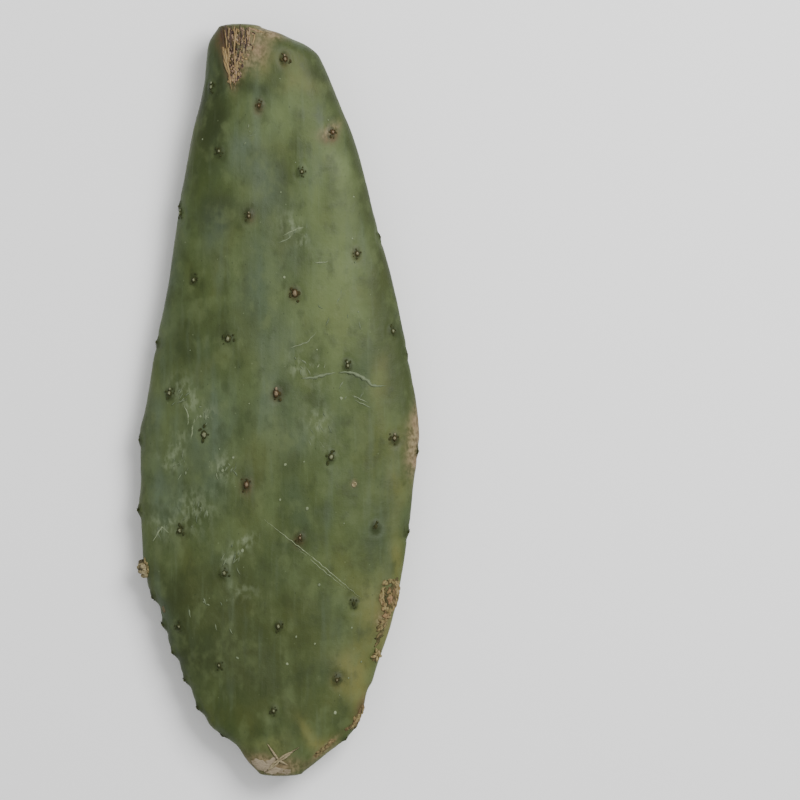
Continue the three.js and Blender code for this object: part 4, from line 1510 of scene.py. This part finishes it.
@dataclass
class CorkScars:
    """The corky scars of fruits and young pads, crusts on the margins, and small warts.

    Attributes:
        form: The pad's form.
        seed: Picks the chance values.
        tuft_place: The middle of the star of dry flaps.
        flap_width: Half a flap's width.
        flap_steps: The parts that a flap is bent in.
        flaps: Each flap's heading in degrees and its length.
        nub_lobes: How many lobes the knobbly scar has.
        wart_places: The x and y of the upper face's larger warts.
        wart_sizes: Their least and most radius.
        wart_count: How many smaller warts there are at random.
        small_wart_sizes: The least and most radius of those.
    """

    form: PadForm
    seed: int = 21
    tuft_place: Place = Place(-108.3, 17)
    flap_width: float = 0.75
    flap_steps: int = 6
    flaps: Points = ((126, 3.2), (84, 2.2), (5, 2.6), (208, 3.4), (282, 3), (45, 1.8), (165, 1.8))
    nub_lobes: int = 20
    wart_sizes: Pair = (0.6, 0.9)
    wart_count: int = 70
    small_wart_sizes: Pair = (0.25, 0.5)
    wart_places: Points = (
        (2.8, 52.2), (27, 0.7), (3.2, -27.5), (1, -42.4), (12.5, -46.2), (-15.1, -64.1),
        (-23.2, -73.9), (17.6, -78.6), (-29.6, -87.1), (7.8, -100.7), (-17.2, -109.7),
        (4, -112.3), (24.4, -133.1), (-33, -7), (-19, -24.5), (-23.5, -30),
    )

    def crusts(self) -> bpy.types.Object:
        """Makes the scars' bodies, and the ridges that stand on them."""
        bodies = (
            Crust(Place(-83.5, 14), 3.2, 7.2, 0.25, 0, 0, 0.35, 0.3, shade=0.85),
            Crust(Place(-108.5, 15), 2.0, 2.4, 0.25, 0, 0, 0.4, 0.3, shade=0.6),
            Crust(Place(-135.5, 11), 1.5, 4.6, 0.2, 0, 0, 0.3, 0.3, lean=-8, shade=0.6),
        )
        cluster = Cluster()
        for number, crust in enumerate(bodies):
            shape, _ = crust.shape(self.form, self.seed + number)
            cluster.add(shape, blush=0.4, shade=crust.shade)
        draw = random.Random(self.seed)
        for ridge in RIDGES:
            self._add_ridge(cluster, ridge, draw)
        return cluster.finish("cork_scars", dry_cork())

    def _add_ridge(self, cluster: Cluster, ridge: Ridge, draw: random.Random) -> None:
        """Adds the crumbs of one ridge, each a little longer along it than across."""
        corners = np.array(ridge.corners)
        steps = np.linalg.norm(np.diff(corners, axis=0), axis=1)
        runs = np.concatenate([[0], np.cumsum(steps)])
        for _ in range(int(runs[-1] * (1.6 + 2.2 * ridge.half_width))):
            at = draw.uniform(0, runs[-1])
            piece = min(int(np.searchsorted(runs, at, "right")) - 1, len(steps) - 1)
            ahead = (corners[piece + 1] - corners[piece]) / steps[piece]
            x, y = corners[piece] + ahead * (at - runs[piece])
            x, y = x + draw.gauss(0, 0.45 * ridge.half_width), y + draw.gauss(0, 0.3)
            wide = draw.uniform(0.35, 0.6) + 0.5 * ridge.half_width * draw.random()
            lean = math.degrees(math.atan2(-ahead[0], ahead[1]))
            crumb = Crust(
                self.form.place_at(x, y),
                wide,
                wide * draw.uniform(1.3, 2.8),
                ridge.height * draw.uniform(0.6, 1.2),
                ragged=0.45,
                grain=0.2,
                lean=lean + draw.gauss(0, 25),
                around=8,
            )
            shape, _ = crumb.shape(self.form, draw.randrange(999))
            shade = min(1, max(0, ridge.shade + draw.gauss(0, 0.16)))
            cluster.add(shape, blush=min(1, max(0, ridge.blush + draw.gauss(0, 0.2))), shade=shade)

    def bleached(self) -> bpy.types.Object:
        """Makes the knobbly scar on the left margin, and the old scars that weathered pale."""
        lobes = [
            Crust(Place(-89, 166), 0.8, 1.4, 0.2, 0, 0, 0.5, 0.2, shade=0.7),
            Crust(self.form.place_at(32.5, -36), 1.1, 1.2, 0.25, 0.35, 0.5, 0.15, 0.05),
        ]
        draw = random.Random(self.seed + 7)
        for _ in range(self.nub_lobes):
            place = Place(draw.gauss(-71.5, 1.6), draw.gauss(179, 4))
            wide, rise = draw.uniform(0.6, 1.1), draw.uniform(1.4, 3.3)
            shade = draw.choice((0, 0, 0.3, 0.8))
            lobes.append(Crust(place, wide, wide * 1.2, rise, 0, 0, 0.5, 0.4, shade=shade))
        cluster = Cluster()
        for number, crust in enumerate(lobes):
            shape, _ = crust.shape(self.form, self.seed + 20 + number)
            cluster.add(shape, blush=0, shade=crust.shade)
        return cluster.finish("bleached_scars", bleached_cork())

    def warts(self) -> bpy.types.Object:
        """Makes the small pale warts: those of the upper face, and more at random on both faces."""
        draw = random.Random(self.seed)
        places = [self.form.place_at(x, y) for x, y in self.wart_places]
        for _ in range(self.wart_count):
            angle = draw.choice((1, -1, -1)) * draw.uniform(25, 155)
            places.append(Place(draw.uniform(-145, 140), angle))
        cluster = Cluster()
        for number, place in enumerate(places):
            is_placed = number < len(self.wart_places)
            wide = draw.uniform(*(self.wart_sizes if is_placed else self.small_wart_sizes))
            longer = wide * draw.uniform(0.9, 1.3)
            wart = Crust(place, wide, longer, 0.2, 0, 0, 0.3, 0.05, around=10)
            shape, _ = wart.shape(self.form, number)
            cluster.add(shape, shade=draw.uniform(0.25, 0.8))
        return cluster.finish("pale_warts", healed_scratch())

    def tuft(self) -> bpy.types.Object:
        """Makes the star of dry flaps round the small fruit scar on the right margin."""
        cluster = Cluster()
        spot = self.form.spot(self.tuft_place).matrix()
        for number, (heading, length) in enumerate(self.flaps):
            turn = math.radians(heading)
            t = np.linspace(0, 1, self.flap_steps + 1)[:, None]
            ahead = np.array([[math.cos(turn), math.sin(turn), 0]])
            local = ahead * length * t + np.array([[0, 0, 1]]) * (0.5 + 0.5 * np.sin(t * 3))
            path = np.array([spot @ Vector(p) for p in local])
            outs = np.tile(np.array(spot.to_3x3() @ Vector((0, 0, 1))), (len(t), 1))
            widths = self.flap_width * spindle(self.flap_steps, 0.3, 0.35, 0.6)
            strand = Strand(path, outs, widths, 0.4 * widths)
            cluster.add(strand.shape(), blush=0.2 * (number % 2), shade=0.0)
        return cluster.finish("scar_tuft", dry_cork())


@dataclass
class TipCork:
    """The bleached crust over the tip, and the split ridges that lie crossed on it.

    Attributes:
        form: The pad's form.
        middle: Where the ridges cross.
        arms: Each ridge's heading in degrees and its length.
        split_arms: The numbers of the ridges that are split.
        split: How far each half of a split ridge is bowed aside.
        half_width: Half a ridge's width.
        steps: The parts that a ridge is bent in.
    """

    form: PadForm
    middle: Pair = (0.4, -153.4)
    arms: Points = ((124, 8.6), (33, 10.4), (222, 8.2), (334, 4.2))
    split_arms: tuple[int, ...] = (1, 2)
    split: float = 0.5
    half_width: float = 0.5
    steps: int = 12

    def build(self) -> bpy.types.Object:
        """Makes the crust, then the ridges, two side by side with a slit between where split."""
        cluster = Cluster()
        for number, crust in enumerate(self._crusts()):
            shape, _ = crust.shape(self.form, number + 50)
            cluster.add(shape, blush=0.7, shade=crust.shade)
        for number, (heading, length) in enumerate(self.arms):
            offsets = (-self.split, self.split) if number in self.split_arms else (0.0,)
            for offset in offsets:
                cluster.add(self._ridge(heading, length, offset), blush=0.2, shade=0.0)
            # Painted shade: a dark strip lies low in the slit between the two halves of a split
            # ridge.
            if number in self.split_arms:
                cluster.add(self._ridge(heading, 0.8 * length, 0, 0.05), blush=0, shade=0.9)
        return cluster.finish("tip_cork", bleached_cork())

    def _crusts(self) -> list[Crust]:
        """Gives the crust in overlapping patches."""
        at = self.form.place_at
        return [
            Crust(at(-8.2, -155.4), 3.4, 2.4, 0.2, 0, 0, 0.4, 0.18, lean=10),
            Crust(at(-4, -157), 4.4, 2.4, 0.2, 0, 0, 0.35, 0.18, lean=-4),
            Crust(at(-2.6, -154.2), 3.4, 1.5, 0.2, 0, 0, 0.45, 0.15, lean=20),
            Crust(at(3.5, -158), 4, 1.4, 0.1, 0, 0, 0.4, 0.12, shade=0.25),
        ]

    def _ridge(
        self, heading: float, length: float, offset: float, lift: float = 0.4
    ) -> bmesh.types.BMesh:
        """Makes one ridge from the middle outwards, bowed aside by an offset."""
        turn = math.radians(heading)
        ahead = np.array([math.cos(turn), math.sin(turn)])
        aside = np.array([-ahead[1], ahead[0]])
        t = np.linspace(0, 1, self.steps + 1)[:, None]
        flat = np.array(self.middle) + ahead * length * t
        flat = flat + aside * offset * np.sin(np.clip(t * 1.5 + 0.12, 0, 1) * math.pi)
        points, outs = self.form.on_face(flat[:, 0], flat[:, 1])
        widths = self.half_width * spindle(self.steps, 0.7, 0.2, 0.3)
        return Strand(points + outs * lift, outs, widths, widths).shape()


@dataclass(frozen=True)
class Bundle:
    """Fibres that lie side by side.

    Attributes:
        count: How many there are.
        from_x: Where the first and last of them start, across the pad.
        from_y: The least and most that they start at along the pad.
        towards: Where they are drawn to.
        share: The least and most of that way that they reach.
        tones: The least and most of their tone, from 0 for purple-brown to 1 for pinkish.
    """

    count: int
    from_x: Pair
    from_y: Pair
    towards: Pair
    share: Pair
    tones: Pair


@dataclass
class TornBase:
    """The fibres that were torn out of the base scar and lie along the upper face.

    Attributes:
        form: The pad's form.
        seed: Picks the chance values.
        bundles: The bundles of fibres.
        half_width: Half a fibre's width, about.
        steps: The parts that a fibre is bent in.
        crumbs: How many crumbs of pith lie beside the fibres.
        crumb_area: The least and most x, then the least and most y, of the crumbs.
    """

    form: PadForm
    seed: int = 5
    bundles: tuple[Bundle, ...] = (
        Bundle(12, (-24.4, -11.5), (157, 160), (-19, 120), (0.08, 0.3), (0.0, 0.16)),
        Bundle(6, (-24, -12), (157, 160), (-19, 120), (0.12, 0.35), (0.4, 0.9)),
        Bundle(6, (-23.2, -21.4), (144, 152), (-19.4, 131.5), (0.4, 1.0), (0.3, 0.7)),
        Bundle(5, (-18.4, -15.8), (142, 153), (-18.9, 131), (0.4, 1.0), (0.3, 0.8)),
        Bundle(8, (-15.5, -10), (148, 158), (-14.6, 138), (0.15, 0.5), (0.5, 1.0)),
    )
    half_width: float = 0.38
    steps: int = 14
    crumbs: int = 230
    crumb_area: tuple[float, float, float, float] = (-21, -7.5, 135, 158)

    def build(self) -> bpy.types.Object:
        """Makes the fibres bundle by bundle, and the crumbs of pith beside them."""
        draw = random.Random(self.seed)
        cluster = Cluster()
        for bundle in self.bundles:
            for number in range(bundle.count):
                aside = (number + draw.random()) / bundle.count
                shape = self._fibre(draw, bundle, aside)
                cluster.add(shape, shade=draw.uniform(*bundle.tones))
        for _ in range(self.crumbs):
            self._add_crumb(cluster, draw)
        return cluster.finish("torn_fibres", torn_fibre())

    def _fibre(self, draw: random.Random, bundle: Bundle, aside: float) -> bmesh.types.BMesh:
        """Makes one fibre of a bundle.

        Args:
            draw: Gives its chance values.
            bundle: The bundle.
            aside: Its place across the bundle, from 0 to 1.

        Returns:
            The fibre's shape.
        """
        t = np.linspace(0, draw.uniform(*bundle.share), self.steps + 1)
        start_x = bundle.from_x[0] + (bundle.from_x[1] - bundle.from_x[0]) * aside
        start_y = draw.uniform(*bundle.from_y)
        phase, sway = draw.uniform(0, 6), draw.uniform(0.1, 0.6)
        drawn = (bundle.towards[0] - start_x) * t**1.3
        x = start_x + drawn + sway * np.sin(phase + 8 * t) * (1.1 - t)
        y = start_y + (bundle.towards[1] - start_y) * t
        points, outs = self.form.on_face(x, y)
        lift = draw.uniform(-0.3, 0.35) + 0.25 * np.sin(phase + 13 * t)
        widths = self.half_width * draw.uniform(0.5, 1.5) * spindle(self.steps, 0.6, 0.12, 0.3)
        return Strand(points + outs * lift[:, None], outs, widths, 0.8 * widths, 5).shape()

    def _add_crumb(self, cluster: Cluster, draw: random.Random) -> None:
        """Adds one crumb of dry pith, more of them close to the fibres."""
        low_x, high_x, low_y, high_y = self.crumb_area
        y = high_y - (high_y - low_y) * draw.random()
        spread = 0.3 + 0.7 * (y - low_y) / (high_y - low_y)
        x = low_x + (high_x - low_x) * draw.random() ** 1.3 * spread
        wide, place = draw.uniform(0.25, 0.7), self.form.place_at(x, y)
        crumb = Crust(place, wide, wide * draw.uniform(0.8, 1.8), 0.2, 0, 0, 0.5, 0.15, around=8)
        shape, _ = crumb.shape(self.form, draw.randrange(999))
        cluster.add(shape, shade=draw.choice((0.1, 0.5, 0.8, 1.0)))


@dataclass
class Scratches:
    """Healed scratches and scuffs: thin lines of scar tissue that lie on the skin.

    Attributes:
        form: The pad's form.
        seed: Picks the chance values.
        lift: How far a line's middle stands over the skin.
        step: The length of the parts that a line is bent in.
        lines: Each long scratch's half width, shade and corners.
        scuffs: Each of the upper face's scuffs: its x, y, reach and count of lines.
        lower_scuffs: How many scuffs the lower face has.
        lower_scuff_lines: How many lines each of those has.
    """

    form: PadForm
    seed: int = 13
    lift: float = 0.05
    step: float = 1.2
    lines: tuple[tuple[float, float, Points], ...] = (
        (0.75, 0.75, ((10, 9.2), (15.3, 9.5), (19.8, 10.7), (24.5, 11.7))),
        (0.42, 0.0, ((10.7, 9.2), (15.3, 9.5), (19.8, 10.7), (23.9, 11.7))),
        (0.85, 0.75, (
            (26, 11.7), (30, 11.9), (32.5, 11.3), (35.7, 9.7), (38.1, 8.3), (40.2, 6), (46, 6),
        )),
        (0.48, 0.0, (
            (26.5, 11.7), (30, 11.9), (32.5, 11.3), (35.7, 9.7), (38.1, 8.3), (40.2, 6), (45.1, 6),
        )),
        (0.22, 0.3, ((-5.8, -50.9), (15.5, -67.5), (36, -85))),
        (0.18, 0.4, ((8.3, -62.9), (18.6, -71.9), (29.6, -80.8))),
        (0.35, 0.3, ((16.6, 13.5), (17.8, 15.6))),
        (0.3, 0.5, ((19.5, 13.3), (20.3, 15.5))),
        (0.3, 0.6, ((31.5, 2), (38.5, -1.2))),
        (0.3, 0.7, ((32.5, 0), (40, -3.5))),
        (0.35, 0.6, ((5, 22), (12.5, 24.5), (16.5, 29))),
        (0.4, 0.5, ((1.9, 69.7), (7.9, 72.7), (13.4, 74))),
        (0.35, 0.65, ((-0.2, 66.7), (3.6, 68), (6, 70))),
        (0.4, 0.5, ((15.5, 58.6), (18.5, 58.3), (21.5, 59))),
        (0.4, 0.4, ((-53.5, -60.5), (-49.5, -54), (-46.5, -56.5))),
        (0.35, 0.5, ((-40, -2), (-38, -7), (-38.5, -12))),
        (0.35, 0.5, ((-35.5, -8), (-36.5, -13), (-37, -18))),
    )
    scuffs: tuple[Scuff, ...] = (
        (9.2, 70, 5, 6), (11.3, 14.7, 6, 8), (-50, -56, 4, 8), (-19, -66, 5, 10),
        (-21.5, -29, 4.5, 12), (-32, -6.6, 4.5, 10), (-41, 2, 4, 8), (-36, -49, 8, 12),
        (18, -11, 8, 10), (-42, -27, 7, 8), (30, 5, 7, 6), (-13, 112, 6, 5),
        (22, 40, 12, 6), (-20, -95, 14, 6),
    )
    lower_scuffs: int = 12
    lower_scuff_lines: int = 12

    def build(self) -> bpy.types.Object:
        """Makes the scratches, then the scuffs of both faces."""
        draw = random.Random(self.seed)
        cluster = Cluster()
        for half_width, shade, corners in self.lines:
            cluster.add(self._line(np.array(corners), half_width, UPPER, draw), shade=shade)
        for scuff in self.scuffs:
            self._scuff(cluster, draw, scuff, UPPER)
        for _ in range(self.lower_scuffs):
            x, y, reach = draw.uniform(-35, 35), draw.uniform(-110, 100), draw.uniform(5, 10)
            self._scuff(cluster, draw, (x, y, reach, self.lower_scuff_lines), LOWER)
        return cluster.finish("healed_scratches", healed_scratch())

    def _scuff(self, cluster: Cluster, draw: random.Random, scuff: Scuff, face: int) -> None:
        """Adds one scuff: many short lines near each other that lean much the same way."""
        x, y, reach, count = scuff
        way = draw.uniform(50, 130)
        for _ in range(count):
            middle = np.array([draw.gauss(x, reach / 2), draw.gauss(y, reach / 2)])
            turn = math.radians(draw.gauss(way, 22))
            half = np.array([math.cos(turn), math.sin(turn)]) * draw.uniform(0.4, 2.2)
            corners = np.stack([middle - half, middle + half])
            width = draw.uniform(0.15, 0.4)
            cluster.add(self._line(corners, width, face, draw), shade=draw.uniform(0.7, 1.0))

    def _line(
        self, corners: np.ndarray, half_width: float, face: int, draw: random.Random
    ) -> bmesh.types.BMesh:
        """Makes one scratch through corners seen from above, thin at both ends."""
        runs = np.concatenate([[0], np.cumsum(np.linalg.norm(np.diff(corners, axis=0), axis=1))])
        steps = max(3, int(runs[-1] / self.step))
        at = np.linspace(0, runs[-1], steps + 1)
        x, y = (np.interp(at, runs, corners[:, i]) for i in (0, 1))
        phase = draw.uniform(0, 6)
        x = x + 0.15 * np.sin(phase + at * 1.3)
        y = y + 0.15 * np.sin(phase + at * 1.7)
        points, outs = self.form.on_face(x, y, face)
        widths = half_width * spindle(steps, 0.2, 0.1, 0.5) * (1 + 0.35 * np.sin(phase + 2.1 * at))
        return Strand(points + outs * self.lift, outs, widths, 0.25 * widths + 0.03, 5).shape()


# ---- The studio -------------------------------------------------------------------------------


@dataclass
class Studio:
    """A pale floor, soft light and the camera, which looks straight down.

    Attributes:
        lens: The camera's focal length, and sensor its sensor's width.
        view_width: How wide the view is, at view_height.
        view_middle: The x and y that the camera looks at.
        view_height: The height over the floor where the view has its width.
        floor_size: The floor's width, in metres.
        floor_gap: How far the floor lies under the pad.
        room_strength: How bright the pale room is.
        light_place: Where the key light hangs, in metres.
        light_size: Its width, in metres.
        light_watts: Its power.
    """

    lens: float = 300
    sensor: float = 36
    view_width: float = 341.6
    view_middle: Pair = (52, 0)
    view_height: float = 13
    floor_size: float = 6
    floor_gap: float = 0.2
    room_strength: float = 0.75
    light_place: Triple = (0.5, 0.42, 0.95)
    light_size: float = 0.6
    light_watts: float = 15

    def build(self) -> None:
        """Makes the studio: its floor, its lights and its camera."""
        self._floor()
        self._lights()
        self._camera()

    def _floor(self) -> None:
        """Lays a plain pale floor under the pad."""
        bm = bmesh.new()
        bmesh.ops.create_grid(bm, x_segments=1, y_segments=1, size=self.floor_size / 2 / MM)
        floor = finish_mesh("floor", bm, matt_white_paper())
        floor.location.z = -self.floor_gap * MM

    def _lights(self) -> None:
        """Hangs a broad key light at the upper right, over a bright pale room."""
        world = bpy.data.worlds.new("pale_room")
        bpy.context.scene.world = world
        world.use_nodes = True
        room = world.node_tree.nodes["Background"].inputs
        room["Color"].default_value = (1, 1, 1, 1)
        room["Strength"].default_value = self.room_strength
        data = bpy.data.lights.new("key_light", "AREA")
        data.shape = "SQUARE"
        data.size = self.light_size
        data.energy = self.light_watts
        light = bpy.data.objects.new("key_light", data)
        light.location = self.light_place
        light.rotation_euler = (-Vector(self.light_place)).to_track_quat("-Z", "Y").to_euler()
        bpy.context.scene.collection.objects.link(light)

    def _camera(self) -> None:
        """Sets the camera straight over the pad, far enough for its view's width."""
        data = bpy.data.cameras.new("camera")
        data.lens = self.lens
        data.sensor_width = self.sensor
        camera = bpy.data.objects.new("camera", data)
        distance = self.view_width * MM * self.lens / self.sensor
        x, y = self.view_middle
        camera.location = (x * MM, y * MM, self.view_height * MM + distance)
        bpy.context.scene.collection.objects.link(camera)
        bpy.context.scene.camera = camera


# ---- Putting it together ----------------------------------------------------------------------


def dress(piece: bpy.types.Object) -> None:
    """Makes a piece ride on the pad's body and reports it."""
    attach(piece, BODY)
    faces = sum(len(polygon.vertices) - 2 for polygon in piece.data.polygons)
    LOG.info("%s: %d triangles", piece.name, faces)


def main() -> None:
    """Loads the frame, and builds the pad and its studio."""
    logging.basicConfig(level=logging.INFO, format="%(message)s")
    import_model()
    Studio().build()
    form = PadForm()
    skin = PadSkin(form).build()
    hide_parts(NODE)
    dress(skin)
    areoles = Areoles(form)
    scars = CorkScars(form)
    dress(areoles.cushions())
    dress(areoles.stubs())
    dress(areoles.tufts())
    dress(scars.crusts())
    dress(scars.bleached())
    dress(scars.tuft())
    dress(scars.warts())
    dress(TipCork(form).build())
    dress(TornBase(form).build())
    dress(Scratches(form).build())


if __name__ == "__main__":
    main()
